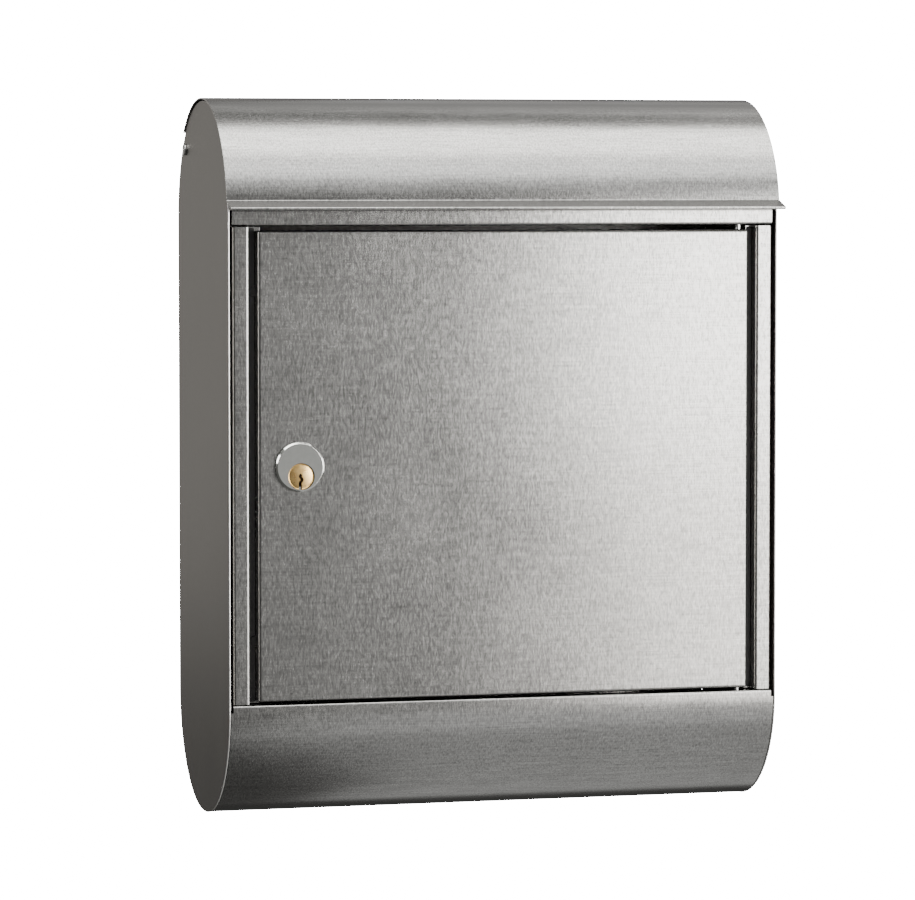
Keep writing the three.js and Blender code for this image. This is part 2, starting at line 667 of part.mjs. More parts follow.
// ---- The letterbox ----
makeSidePlate("side_plate_left", -bodyWidth / 2);
makeSidePlate("side_plate_right", plateInnerX);
makeBackPanel();
makeBottomPanel();
makeTopRail();
const bufferX = makeStile("stile_left", -1, stopWidthLock);
makeStile("stile_right", 1, stopWidthHinge);
makeBuffer("door_buffer_lower", bufferX, doorLowZ + bufferInset);
makeBuffer("door_buffer_upper", bufferX, doorHighZ - bufferInset);
makeSeal("door_seal_left", -1, sealWidthLock);
makeSeal("door_seal_right", 1, sealWidthHinge);
makeFlapShell();
makeFlapEar("flap_ear_left", -1);
makeFlapEar("flap_ear_right", 1);
makeFlapPin("left", -1);
makeFlapPin("right", 1);
makeDoor();
makeHinge("upper", 1);
makeHinge("lower", -1);
makeLockHousing();
makeCam(makeLockPlug());
makeLockNut();
makeStrikePlate();

export default letterbox;
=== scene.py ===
# %% [markdown]
# # A wall letterbox of folded zinc sheet
# The box has two flat side plates with half-round ends, a curved flap over the letter slot, a door in a
# narrow frame and a half-round trough at the bottom. The frame below holds the measured solids of every
# part. Each cell builds one finer piece around them, or one finish, and says why it is made that way.

# %% Load the frame
import math

import bmesh
import bpy
from mathutils import Matrix, Vector


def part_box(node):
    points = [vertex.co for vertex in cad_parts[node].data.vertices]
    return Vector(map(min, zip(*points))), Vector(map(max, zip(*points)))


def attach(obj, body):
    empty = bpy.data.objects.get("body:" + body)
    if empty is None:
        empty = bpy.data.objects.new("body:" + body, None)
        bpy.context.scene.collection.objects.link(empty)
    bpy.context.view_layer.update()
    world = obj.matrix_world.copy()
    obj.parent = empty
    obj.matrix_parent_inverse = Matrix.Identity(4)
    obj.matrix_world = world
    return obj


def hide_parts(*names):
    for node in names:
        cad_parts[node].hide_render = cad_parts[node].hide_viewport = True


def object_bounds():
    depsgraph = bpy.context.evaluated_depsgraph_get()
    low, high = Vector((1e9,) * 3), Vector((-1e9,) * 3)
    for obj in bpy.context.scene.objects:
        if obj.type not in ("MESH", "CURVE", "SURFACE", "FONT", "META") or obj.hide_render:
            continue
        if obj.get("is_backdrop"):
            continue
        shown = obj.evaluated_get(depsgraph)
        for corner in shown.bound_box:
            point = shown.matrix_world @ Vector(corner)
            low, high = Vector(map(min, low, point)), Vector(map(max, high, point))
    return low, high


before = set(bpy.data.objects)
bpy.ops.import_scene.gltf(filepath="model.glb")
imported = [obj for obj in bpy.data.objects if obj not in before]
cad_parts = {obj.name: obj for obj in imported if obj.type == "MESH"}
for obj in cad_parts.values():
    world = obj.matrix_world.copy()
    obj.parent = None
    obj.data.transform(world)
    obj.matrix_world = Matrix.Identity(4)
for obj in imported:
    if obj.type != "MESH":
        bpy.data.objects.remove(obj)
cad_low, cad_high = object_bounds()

MM = 0.001
scene = bpy.context.scene
print("solids in the frame:", len(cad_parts))

# %% [markdown]
# ## Sizes
# Every place comes from the boxes of the solids, so the finer pieces can't drift away from them. The side
# plate gives most of it: both of its faces, the radius of its half-round ends and the centres of both rounds.

# %% Read the sizes that the pieces share
plate_low, plate_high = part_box("side_plate_left")
plate_outer = -plate_low.x
plate_inner = -plate_high.x
round_radius = (plate_high.y - plate_low.y) / 2
round_y = (plate_high.y + plate_low.y) / 2
round_z = plate_high.z - round_radius
rail_low, rail_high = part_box("top_rail")
door_low, door_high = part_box("door_skin")
stile_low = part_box("stile_left")[0]
SHEET = 1.0 * MM
THICK_SHEET = 1.5 * MM
SEAT_GAP = 0.3 * MM
DRILL_GAP = 0.3 * MM
FOLD = 1.6 * MM
TIGHT_FOLD = 0.8 * MM
rail_depth = rail_high.y - rail_low.y
face_y = door_low.y
print(f"round ends: radius {round_radius / MM:.1f} mm, centres at z {round_z / MM:.1f} mm and its opposite")

# %% [markdown]
# ## Camera
# A long lens from the left of the front keeps the upright lines nearly parallel and shows the left side
# plate as a narrow dark band. A long lens from far away is the calm choice for a product like this one.

# %% Set the camera
CAMERA_PLACE = (-0.854, -3.105, 0.190)
CAMERA_YAW = 15.53
CAMERA_PITCH = -3.42
CAMERA_LENS = 181.7
SENSOR_WIDTH = 36
camera_data = bpy.data.cameras.new("portrait_camera")
camera_data.lens = CAMERA_LENS
camera_data.sensor_width = SENSOR_WIDTH
camera_data.clip_start = 0.05
camera = bpy.data.objects.new("portrait_camera", camera_data)
camera.location = CAMERA_PLACE
camera.rotation_euler = (math.radians(90 + CAMERA_PITCH), 0, math.radians(-CAMERA_YAW))
scene.collection.objects.link(camera)
scene.camera = camera
print("camera distance:", round(camera.location.length, 2), "m")

# %% [markdown]
# ## Light
# Bare zinc shows nothing but what it mirrors, so each light is a large soft panel placed where one face of
# the box looks. Two bright panels at the front right fade the door from dark at its left to bright at its
# right. The weaker walls of light round them shade the rail above, the apron below and the door's left.
# The panels overhead and high in front draw the bright band along the flap, and the high one behind keeps
# its top from going black. One panel at the right brightens the folds that look that way, a strip at the
# left draws the rim of the lock's face, and a dim panel at the rear wakes the side plate.

# %% A helper for soft panels, and the panels
def soft_panel(name, location, target, width, height, radiance, tint=(1.0, 1.0, 1.0)):
    """An area light of a known brightness per area, turned to a target."""
    data = bpy.data.lights.new(name, "AREA")
    data.shape = "RECTANGLE"
    data.size = width
    data.size_y = height
    data.energy = radiance * math.pi * width * height
    data.color = tint
    panel = bpy.data.objects.new(name, data)
    panel.location = location
    aim = Vector(target) - Vector(location)
    panel.rotation_euler = aim.to_track_quat("-Z", "Y").to_euler()
    panel.visible_camera = False
    scene.collection.objects.link(panel)
    print(f"{name}: {width:.2f} x {height:.2f} m")


def wall_of_light(name, x_range, z_range, y, radiance, tint=(1.0, 1.0, 1.0)):
    """An upright panel in front of the box, given by the range it fills."""
    x = sum(x_range) / 2
    z = sum(z_range) / 2
    width = x_range[1] - x_range[0]
    height = z_range[1] - z_range[0]
    soft_panel(name, (x, y, z), (x, 0, z), width, height, radiance, tint)


WARM = (1.0, 0.985, 0.965)
WALL_Y = -1.0
wall_of_light("front_right_panel", (0.33, 1.50), (-0.04, 0.35), WALL_Y, 11.5, (1.0, 0.98, 0.96))
wall_of_light("lower_right_panel", (0.355, 1.50), (-0.36, -0.04), WALL_Y, 6.0, (1.0, 0.965, 0.93))
wall_of_light("upper_left_panel", (-0.80, 0.44), (0.58, 0.80), WALL_Y, 0.8)
wall_of_light("apron_panel", (0.08, 1.50), (-0.74, -0.36), WALL_Y, 0.78)
wall_of_light("upper_right_panel", (0.44, 1.50), (0.35, 0.64), WALL_Y, 2.5)
wall_of_light("front_fill_panel", (-0.20, 0.34), (-0.30, 0.28), WALL_Y, 0.26)
soft_panel("overhead_panel", (0.0, -0.44, 1.55), (0.0, -0.44, 0), 2.4, 0.96, 5.8, WARM)
soft_panel("high_front_panel", (0.05, -1.28, 1.42), (0.05, -0.12, 0.2), 2.2, 0.6, 3.4)
soft_panel("high_rear_panel", (1.15, 1.15, 1.60), (0.2, -0.1, 0.2), 2.2, 1.3, 0.92, WARM)
soft_panel("floor_bounce_panel", (0.70, -0.40, -0.80), (0.70, -0.40, 0), 1.3, 1.6, 0.52)
soft_panel("right_side_panel", (1.6, -0.50, 0.0), (0.0, -0.50, 0.0), 0.9, 0.8, 7.0)
soft_panel("left_strip_panel", (-1.21, -0.47, 0.43), (-0.14, -0.15, 0), 0.26, 0.5, 7.0)
soft_panel("rear_panel", (-0.7, 2.6, 0.80), (-0.7, 0, 0.80), 2.4, 2.4, 0.32, (1.0, 0.96, 0.91))

# %% [markdown]
# ## Surroundings
# The world has two faces: the camera sees plain white behind the box, and everything else gets a dim grey
# room that is darker below, so that the trough under the door falls off into shade as real zinc does.

# %% Build the world and the floor
BACKDROP_STRENGTH = 24
LOWEST = -0.5
HIGHEST = 0.9
HORIZON = 0.4
world = bpy.data.worlds.new("pale_studio")
world.use_nodes = True
scene.world = world
nodes = world.node_tree.nodes
links = world.node_tree.links
nodes.clear()
output = nodes.new("ShaderNodeOutputWorld")
backdrop = nodes.new("ShaderNodeBackground")
backdrop.inputs["Color"].default_value = (1, 1, 1, 1)
backdrop.inputs["Strength"].default_value = BACKDROP_STRENGTH
room = nodes.new("ShaderNodeBackground")
room.inputs["Strength"].default_value = 1.0
direction = nodes.new("ShaderNodeTexCoord")
split = nodes.new("ShaderNodeSeparateXYZ")
rise = nodes.new("ShaderNodeMapRange")
rise.inputs["From Min"].default_value = LOWEST
rise.inputs["From Max"].default_value = HIGHEST
shades = nodes.new("ShaderNodeValToRGB")
shades.color_ramp.elements[0].color = (0.09, 0.089, 0.086, 1)
shades.color_ramp.elements[1].color = (0.24, 0.24, 0.235, 1)
horizon = shades.color_ramp.elements.new(HORIZON)
horizon.color = (0.11, 0.108, 0.104, 1)
light_path = nodes.new("ShaderNodeLightPath")
choose = nodes.new("ShaderNodeMixShader")
links.new(direction.outputs["Generated"], split.inputs[0])
links.new(split.outputs["Z"], rise.inputs["Value"])
links.new(rise.outputs["Result"], shades.inputs["Fac"])
links.new(shades.outputs["Color"], room.inputs["Color"])
links.new(light_path.outputs["Is Camera Ray"], choose.inputs["Fac"])
links.new(room.outputs[0], choose.inputs[1])
links.new(backdrop.outputs[0], choose.inputs[2])
links.new(choose.outputs[0], output.inputs["Surface"])

FLOOR_DROP = 1.1
FLOOR_REACH = 4.0
floor_mesh = bpy.data.meshes.new("floor")
floor_corners = [(-1, -1), (1, -1), (1, 1), (-1, 1)]
floor_points = [(x * FLOOR_REACH, y * FLOOR_REACH, -FLOOR_DROP) for x, y in floor_corners]
floor_mesh.from_pydata(floor_points, [], [(0, 1, 2, 3)])
floor = bpy.data.objects.new("floor", floor_mesh)
floor.visible_glossy = False
scene.collection.objects.link(floor)
floor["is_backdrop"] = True
print("floor at", -FLOOR_DROP, "m")

# %% [markdown]
# ## Node groups for the finishes
# Several finishes share the same effects: grain from the rolling mill, cloudy patches in the zinc, small
# dark specks and the rings that a lathe leaves. Each effect is a node group with named inputs, so that one
# sheet can be grainy and another smooth with the same recipe. The groups give masks only, and the shader
# stays in each material. The helpers below work in the piece's own place, so no unwrapping is needed.

# %% Helpers to build a group
def new_group(name, inputs, outputs):
    """A shader node group with float inputs {name: default} and float outputs."""
    group = bpy.data.node_groups.new(name, "ShaderNodeTree")
    for socket_name, default in inputs.items():
        socket = group.interface.new_socket(socket_name, in_out="INPUT", socket_type="NodeSocketFloat")
        socket.default_value = default
    for socket_name in outputs:
        group.interface.new_socket(socket_name, in_out="OUTPUT", socket_type="NodeSocketFloat")
    return group, group.nodes.new("NodeGroupInput"), group.nodes.new("NodeGroupOutput")


def math_node(tree, operation, first, second=None, clamp=False):
    """A Math node fed by sockets or plain numbers. Gives its output socket."""
    node = tree.nodes.new("ShaderNodeMath")
    node.operation = operation
    node.use_clamp = clamp
    for slot, value in enumerate((first, second)):
        if value is None:
            continue
        if isinstance(value, (int, float)):
            node.inputs[slot].default_value = value
        else:
            tree.links.new(value, node.inputs[slot])
    return node.outputs[0]


def noise_node(tree, vector, scale, detail=2.0, roughness=0.5):
    """A Noise texture. Gives its factor socket."""
    node = tree.nodes.new("ShaderNodeTexNoise")
    node.inputs["Detail"].default_value = detail
    node.inputs["Roughness"].default_value = roughness
    tree.links.new(vector, node.inputs["Vector"])
    if isinstance(scale, (int, float)):
        node.inputs["Scale"].default_value = scale
    else:
        tree.links.new(scale, node.inputs["Scale"])
    return node.outputs["Fac"]


def stretched_place(tree, size_x, size_y, size_z):
    """The place on the piece, counted in grains that are size_x by size_y by size_z millimetres."""
    place = tree.nodes.new("ShaderNodeTexCoord")
    parts = tree.nodes.new("ShaderNodeSeparateXYZ")
    tree.links.new(place.outputs["Object"], parts.inputs[0])
    joined = tree.nodes.new("ShaderNodeCombineXYZ")
    for axis, size in zip("XYZ", (size_x, size_y, size_z)):
        in_mm = math_node(tree, "MULTIPLY", parts.outputs[axis], 1 / MM)
        tree.links.new(math_node(tree, "DIVIDE", in_mm, size), joined.inputs[axis])
    return joined.outputs[0]


# %% [markdown]
# The grain group gives three masks: the short upright grain, a finer dust of the same kind, and long level
# streaks that cross it. The clouds are one soft noise. The specks are a few cells drawn by lot from a cell
# pattern, and the lathe rings are a sine wave of the distance from a centre.

# %% The rolled grain, the clouds, the specks and the lathe rings
CROSS_STRETCH = 9.0
SPECK_EDGE = 8.0
SPECK_CHANCE = 0.28

grain, grain_in, grain_out = new_group(
    "rolled_grain", {"Width": 1.2, "Length": 4.5, "Fineness": 0.5}, ("Grain", "Fine", "Cross"))
grain_width = grain_in.outputs["Width"]
grain_length = grain_in.outputs["Length"]
along = stretched_place(grain, grain_width, grain_width, grain_length)
grain.links.new(noise_node(grain, along, 1.0, 3.0, 0.55), grain_out.inputs["Grain"])
fine = stretched_place(grain, *[grain_in.outputs["Fineness"]] * 3)
grain.links.new(noise_node(grain, fine, 1.0, 2.0), grain_out.inputs["Fine"])
cross_length = math_node(grain, "MULTIPLY", grain_length, CROSS_STRETCH)
across = stretched_place(grain, cross_length, cross_length, grain_width)
grain.links.new(noise_node(grain, across, 1.0, 2.0, 0.5), grain_out.inputs["Cross"])

clouds, clouds_in, clouds_out = new_group("zinc_clouds", {"Size": 60.0, "Contrast": 1.0}, ("Cloud",))
patch_place = stretched_place(clouds, *[clouds_in.outputs["Size"]] * 3)
patch = math_node(clouds, "SUBTRACT", noise_node(clouds, patch_place, 1.0, 4.0, 0.6), 0.5)
patch = math_node(clouds, "MULTIPLY", patch, clouds_in.outputs["Contrast"])
clouds.links.new(math_node(clouds, "ADD", patch, 0.5, clamp=True), clouds_out.inputs["Cloud"])

specks, specks_in, specks_out = new_group("dark_specks", {"Size": 3.0, "Amount": 0.2}, ("Speck",))
speck_place = stretched_place(specks, *[specks_in.outputs["Size"]] * 3)
cells = specks.nodes.new("ShaderNodeTexVoronoi")
cells.inputs["Scale"].default_value = 1.0
specks.links.new(speck_place, cells.inputs["Vector"])
near_centre = math_node(specks, "SUBTRACT", specks_in.outputs["Amount"], cells.outputs["Distance"])
lottery = specks.nodes.new("ShaderNodeSeparateColor")
specks.links.new(cells.outputs["Color"], lottery.inputs[0])
drawn = math_node(specks, "GREATER_THAN", lottery.outputs[0], 1 - SPECK_CHANCE)
dot = math_node(specks, "MULTIPLY", near_centre, SPECK_EDGE, clamp=True)
dot = math_node(specks, "MULTIPLY", dot, drawn)
specks.links.new(dot, specks_out.inputs["Speck"])

rings, rings_in, rings_out = new_group(
    "lathe_rings", {"Centre X": 0.0, "Centre Z": 0.0, "Pitch": 0.25}, ("Ring",))
ring_place = rings.nodes.new("ShaderNodeTexCoord")
ring_parts = rings.nodes.new("ShaderNodeSeparateXYZ")
rings.links.new(ring_place.outputs["Object"], ring_parts.inputs[0])
off_x = math_node(rings, "SUBTRACT", math_node(rings, "MULTIPLY", ring_parts.outputs["X"], 1 / MM),
                  rings_in.outputs["Centre X"])
off_z = math_node(rings, "SUBTRACT", math_node(rings, "MULTIPLY", ring_parts.outputs["Z"], 1 / MM),
                  rings_in.outputs["Centre Z"])
squares = math_node(rings, "ADD", math_node(rings, "MULTIPLY", off_x, off_x),
                    math_node(rings, "MULTIPLY", off_z, off_z))
ring_distance = math_node(rings, "SQRT", squares)
turns = math_node(rings, "DIVIDE", ring_distance, rings_in.outputs["Pitch"])
wave = math_node(rings, "SINE", math_node(rings, "MULTIPLY", turns, 2 * math.pi))
ring = math_node(rings, "MULTIPLY", math_node(rings, "ADD", wave, 1.0), 0.5)
rings.links.new(ring, rings_out.inputs["Ring"])
print("groups:", [group.name for group in bpy.data.node_groups])

# %% [markdown]
# ## Helpers for a material
# A finish is a Principled shader with a few masks in front of it. Small helpers keep each material short:
# one starts it and sets the plain numbers, one places a group with its own values, two turn a mask into a
# colour or a value, one darkens or lightens a colour, and one turns a mask into relief.

# %% Material helpers
def new_material(name, metallic, roughness):
    """A material with its Principled shader. Constant values are set on the shader itself."""
    material = bpy.data.materials.new(name)
    material.use_nodes = True
    shader = material.node_tree.nodes["Principled BSDF"]
    shader.inputs["Metallic"].default_value = metallic
    shader.inputs["Roughness"].default_value = roughness
    return material, material.node_tree, shader


def place_group(tree, group, **values):
    """One use of a group, with its own values."""
    node = tree.nodes.new("ShaderNodeGroup")
    node.node_tree = group
    for socket_name, value in values.items():
        node.inputs[socket_name.replace("_", " ")].default_value = value
    return node


def colour_between(tree, mask, first, second):
    """Mixes two colours, each a socket or a list of three numbers, by a mask."""
    node = tree.nodes.new("ShaderNodeMix")
    node.data_type = "RGBA"
    tree.links.new(mask, node.inputs["Factor"])
    for slot, value in (("A", first), ("B", second)):
        socket = next(s for s in node.inputs if s.name == slot and s.type == "RGBA")
        if isinstance(value, (tuple, list)):
            socket.default_value = (*value, 1)
        else:
            tree.links.new(value, socket)
    return next(s for s in node.outputs if s.type == "RGBA")


def shaded(tree, colour, tone):
    """A colour times a tone, where 1 leaves it as it is."""
    node = tree.nodes.new("ShaderNodeVectorMath")
    node.operation = "SCALE"
    tree.links.new(colour, node.inputs[0])
    tree.links.new(tone, node.inputs["Scale"])
    return node.outputs[0]


def value_between(tree, mask, low, high):
    """Turns a mask into a value that runs from low to high."""
    node = tree.nodes.new("ShaderNodeMapRange")
    tree.links.new(mask, node.inputs["Value"])
    node.inputs["To Min"].default_value = low
    node.inputs["To Max"].default_value = high
    return node.outputs["Result"]


def relief(tree, shader, height, depth):
    """Raises the surface by a height mask; depth is in metres."""
    node = tree.nodes.new("ShaderNodeBump")
    node.inputs["Strength"].default_value = 1.0
    node.inputs["Distance"].default_value = depth
    tree.links.new(height, node.inputs["Height"])
    tree.links.new(node.outputs[0], shader.inputs["Normal"])


# %% [markdown]
# ## Sheet finishes
# Hot-dip zinc on rolled steel is satin, with an upright grain about a millimetre wide, soft cloudy patches
# and a few dark specks. The door, its frame, the flap and the trough share it. The side plates are smoother
# and a little warmer, and the sheet inside is duller. One function makes all of them with other numbers.
#
# The grain is mostly in the colour and hardly in the relief. Relief alone would vanish on the faces that
# mirror one even light and glitter where a light ends. A second function paints light and shade into the
# colour by the way the surface faces: a painted shade on zinc that looks up or down, and a painted highlight
# on cut edges and folds that look sideways.

# %% Make the sheet finishes
CLOUD_SIZE = 70.0
CLOUD_CONTRAST = 1.6
SPECK_SIZE = 3.2
GRAIN_SHARE = 0.72
STAIN_TONE = 0.35
STAIN_STRENGTH = 0.55
GLOSS_FROM_GRAIN = 0.6
SMOOTHER = 0.05
ROUGHER = 0.06
FINE_SHARE = 0.12


def sheet_finish(name, light, dark, roughness, grain_depth, grain_size, speck_amount, grain_tone):
    """Zinc sheet. grain_size is (width, length, fineness) in mm; grain_tone is how much it darkens."""
    material, tree, shader = new_material(name, 1.0, roughness)
    width, length, fineness = grain_size
    grain_node = place_group(tree, grain, Width=width, Length=length, Fineness=fineness)
    cloud_node = place_group(tree, clouds, Size=CLOUD_SIZE, Contrast=CLOUD_CONTRAST)
    speck_node = place_group(tree, specks, Size=SPECK_SIZE, Amount=speck_amount)
    upright = grain_node.outputs["Grain"]
    cloud = cloud_node.outputs["Cloud"]
    woven = math_node(tree, "ADD", math_node(tree, "MULTIPLY", upright, GRAIN_SHARE),
                      math_node(tree, "MULTIPLY", grain_node.outputs["Cross"], 1 - GRAIN_SHARE))
    tone = value_between(tree, woven, 1 - grain_tone, 1 + grain_tone)
    zinc = shaded(tree, colour_between(tree, cloud, dark, light), tone)
    stain = [channel * STAIN_TONE for channel in dark]
    stained = math_node(tree, "MULTIPLY", speck_node.outputs["Speck"], STAIN_STRENGTH)
    tree.links.new(colour_between(tree, stained, zinc, stain), shader.inputs["Base Color"])
    blend = math_node(tree, "ADD", math_node(tree, "MULTIPLY", upright, GLOSS_FROM_GRAIN),
                      math_node(tree, "MULTIPLY", cloud, 1 - GLOSS_FROM_GRAIN))
    gloss = value_between(tree, blend, roughness - SMOOTHER, roughness + ROUGHER)
    tree.links.new(gloss, shader.inputs["Roughness"])
    height = math_node(tree, "ADD", upright,
                       math_node(tree, "MULTIPLY", grain_node.outputs["Fine"], FINE_SHARE))
    relief(tree, shader, height, grain_depth)
    return material


def paint_light_by_facing(material, axis, none_at, full_at, colour):
    """Paints light or shade into the colour by how much a face looks along an axis: none at one amount, full
    at the other.
    """
    tree = material.node_tree
    shader = tree.nodes["Principled BSDF"]
    place = tree.nodes.new("ShaderNodeTexCoord")
    parts = tree.nodes.new("ShaderNodeSeparateXYZ")
    tree.links.new(place.outputs["Normal"], parts.inputs[0])
    facing = math_node(tree, "ABSOLUTE", parts.outputs[axis])
    ramp = tree.nodes.new("ShaderNodeMapRange")
    ramp.inputs["From Min"].default_value = none_at
    ramp.inputs["From Max"].default_value = full_at
    tree.links.new(facing, ramp.inputs["Value"])
    old_colour = shader.inputs["Base Color"].links[0].from_socket
    new_colour = colour_between(tree, ramp.outputs["Result"], old_colour, colour)
    tree.links.new(new_colour, shader.inputs["Base Color"])


FINISH = {}
FINISH["zinc_sheet"] = sheet_finish(
    "galvanised_sheet", light=(0.37, 0.368, 0.356), dark=(0.31, 0.308, 0.298), roughness=0.25,
    grain_depth=0.020 * MM, grain_size=(0.95, 3.3, 0.45), speck_amount=0.20, grain_tone=1.10)
FINISH["side_sheet"] = sheet_finish(
    "smooth_side_sheet", light=(0.35, 0.34, 0.32), dark=(0.32, 0.31, 0.29), roughness=0.36,
    grain_depth=0.006 * MM, grain_size=(1.6, 3.0, 0.8), speck_amount=0.12, grain_tone=0.05)
FINISH["inner_sheet"] = sheet_finish(
    "dull_inner_sheet", light=(0.42, 0.42, 0.41), dark=(0.35, 0.35, 0.34), roughness=0.42,
    grain_depth=0.03 * MM, grain_size=(2.5, 2.5, 0.9), speck_amount=0.22, grain_tone=0.25)
# Painted shade: zinc faces that look nearly straight up or down, the flap's top and lip among them, are
# darkened in colour.
paint_light_by_facing(FINISH["zinc_sheet"], "Z", none_at=0.875, full_at=0.945, colour=(0.080, 0.078, 0.075))
# Painted highlight: zinc faces that look sideways, such as cut edges, the flap's ends and the stiles' folds,
# are lightened in colour.
paint_light_by_facing(FINISH["zinc_sheet"], "X", none_at=0.45, full_at=0.80, colour=(0.58, 0.57, 0.55))
# Painted highlight: the side plates' rounded rims, where the sheet stops looking sideways, are lightened in
# colour.
paint_light_by_facing(FINISH["side_sheet"], "X", none_at=0.97, full_at=0.85, colour=(0.94, 0.93, 0.90))
print("sheet finishes:", list(FINISH))

# %% [markdown]
# ## Small metal, plastic and rubber
# The fasteners are bright zinc plated, a little rough from the barrel. The lock's round face is polished
# and shows only faint turning rings, and its brass plug is turned in clear rings. The walls of the keyway get
# a painted shade: the brass that doesn't face the front is painted nearly black. Nylon and rubber are not
# metals, so their gloss is a soft sheen over a plain colour.

# %% Make the small finishes
lock_low, lock_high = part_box("lock_housing")
plug_low, plug_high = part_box("lock_plug")
lock_x = (lock_low.x + lock_high.x) / 2
lock_z = (lock_low.z + lock_high.z) / 2
plug_x = (plug_low.x + plug_high.x) / 2
plug_z = (plug_low.z + plug_high.z) / 2


def turned_finish(name, light, dark, roughness, centre, pitch, depth):
    """Metal turned on a lathe, with rings round a centre that is given in metres."""
    material, tree, shader = new_material(name, 1.0, roughness)
    ring_node = place_group(tree, rings, Centre_X=centre[0] / MM, Centre_Z=centre[1] / MM, Pitch=pitch)
    cloud = place_group(tree, clouds, Size=4.0, Contrast=1.4).outputs["Cloud"]
    tree.links.new(colour_between(tree, cloud, dark, light), shader.inputs["Base Color"])
    rough = value_between(tree, cloud, roughness * 0.75, roughness * 1.3)
    tree.links.new(rough, shader.inputs["Roughness"])
    relief(tree, shader, ring_node.outputs["Ring"], depth)
    return material


def plain_finish(name, light, dark, metallic, roughness, size, depth):
    """Plated, moulded or pressed material: a fine even texture of one size in millimetres."""
    material, tree, shader = new_material(name, metallic, roughness)
    grain_node = place_group(tree, grain, Width=size, Length=size, Fineness=size / 3)
    colour = colour_between(tree, grain_node.outputs["Grain"], dark, light)
    tree.links.new(colour, shader.inputs["Base Color"])
    rough = value_between(tree, grain_node.outputs["Fine"], roughness * 0.85, roughness * 1.15)
    tree.links.new(rough, shader.inputs["Roughness"])
    relief(tree, shader, grain_node.outputs["Grain"], depth)
    return material


FINISH["polished_metal"] = turned_finish(
    "polished_lock_face", light=(0.88, 0.89, 0.85), dark=(0.81, 0.82, 0.78), roughness=0.13,
    centre=(lock_x, lock_z), pitch=0.30, depth=0.0004 * MM)
FINISH["plug_brass"] = turned_finish(
    "turned_brass", light=(1.0, 0.71, 0.31), dark=(0.90, 0.57, 0.21), roughness=0.29,
    centre=(plug_x, plug_z), pitch=0.45, depth=0.006 * MM)
# Painted shade: brass that faces away from the front, the walls of the keyway, is darkened nearly to black.
paint_light_by_facing(FINISH["plug_brass"], "Y", none_at=0.60, full_at=0.25, colour=(0.06, 0.035, 0.012))
FINISH["plated_steel"] = plain_finish(
    "bright_plating", light=(0.66, 0.66, 0.65), dark=(0.56, 0.56, 0.55), metallic=1.0, roughness=0.30,
    size=1.2, depth=0.01 * MM)
FINISH["white_nylon"] = plain_finish(
    "moulded_nylon", light=(0.80, 0.79, 0.75), dark=(0.74, 0.73, 0.69), metallic=0.0, roughness=0.50,
    size=0.8, depth=0.01 * MM)
# Black rubber for the buttons; on the foam strips beside the door the same black is a painted shade.
FINISH["black_rubber"] = plain_finish(
    "soft_rubber_and_gap_shade", light=(0.030, 0.030, 0.030), dark=(0.018, 0.018, 0.018), metallic=0.0, roughness=0.75,
    size=0.6, depth=0.02 * MM)
floor_mesh.materials.append(plain_finish(
    "floor_paper", light=(0.82, 0.82, 0.81), dark=(0.79, 0.79, 0.78), metallic=0.0, roughness=0.85,
    size=6.0, depth=0.05 * MM))
print("finishes:", {slot: material.name for slot, material in FINISH.items()})

# %% [markdown]
# ## Folded sheet in mesh code
# Nearly all of the box is sheet metal that was folded along straight lines. So a piece is drawn once as a
# line through the middle of the sheet, with a radius at each fold, then thickened to both sides and pushed
# along the fold's direction. Its ends shrink a little over the last fraction of a millimetre, which rounds
# every cut edge. A modifier could do that too, but this way each edge keeps clean quads.

# %% Lines, arcs and folds
def arc_points(centre, radius, start, end, step=2.0):
    """Points on an arc about (a, b). Angles are in degrees, from the first axis to the second."""
    count = max(2, math.ceil(abs(end - start) / step))
    angles = [math.radians(start + (end - start) * i / count) for i in range(count + 1)]
    return [(centre[0] + radius * math.cos(a), centre[1] + radius * math.sin(a)) for a in angles]


def fold_points(before, here, after, radius, steps=7):
    """The round of one fold: a true arc that meets both straight parts."""
    here = Vector(here)
    back = (Vector(before) - here).normalized()
    ahead = (Vector(after) - here).normalized()
    half_angle = back.angle(ahead) / 2
    start = here + back * (radius / math.tan(half_angle))
    end = here + ahead * (radius / math.tan(half_angle))
    centre = here + (back + ahead).normalized() * (radius / math.sin(half_angle))
    first = start - centre
    turn = first.angle_signed(end - centre)
    spokes = [first.copy() for _ in range(steps + 1)]
    for i, spoke in enumerate(spokes):
        spoke.rotate(Matrix.Rotation(-turn * i / steps, 2))
    return [tuple(centre + spoke) for spoke in spokes]


def folded_line(corners):
    """A line through corners, each (a, b) or (a, b, fold radius)."""
    line = []
    for i, corner in enumerate(corners):
        if len(corner) == 3:
            line += fold_points(corners[i - 1][:2], corner[:2], corners[i + 1][:2], corner[2])
        else:
            line.append(corner)
    return line


print("a quarter fold has", len(folded_line([(0, 0), (1, 0, 0.2), (1, 1)])) - 2, "points")

# %% [markdown]
# A line becomes a sheet when every point gets a partner on each side, at half the sheet's thickness. At a
# corner the partners go along the mitre, so the thickness stays the same all the way round. The two rims
# are rounded in the drawing, and the two ends by stations that each shrink the drawing a little.

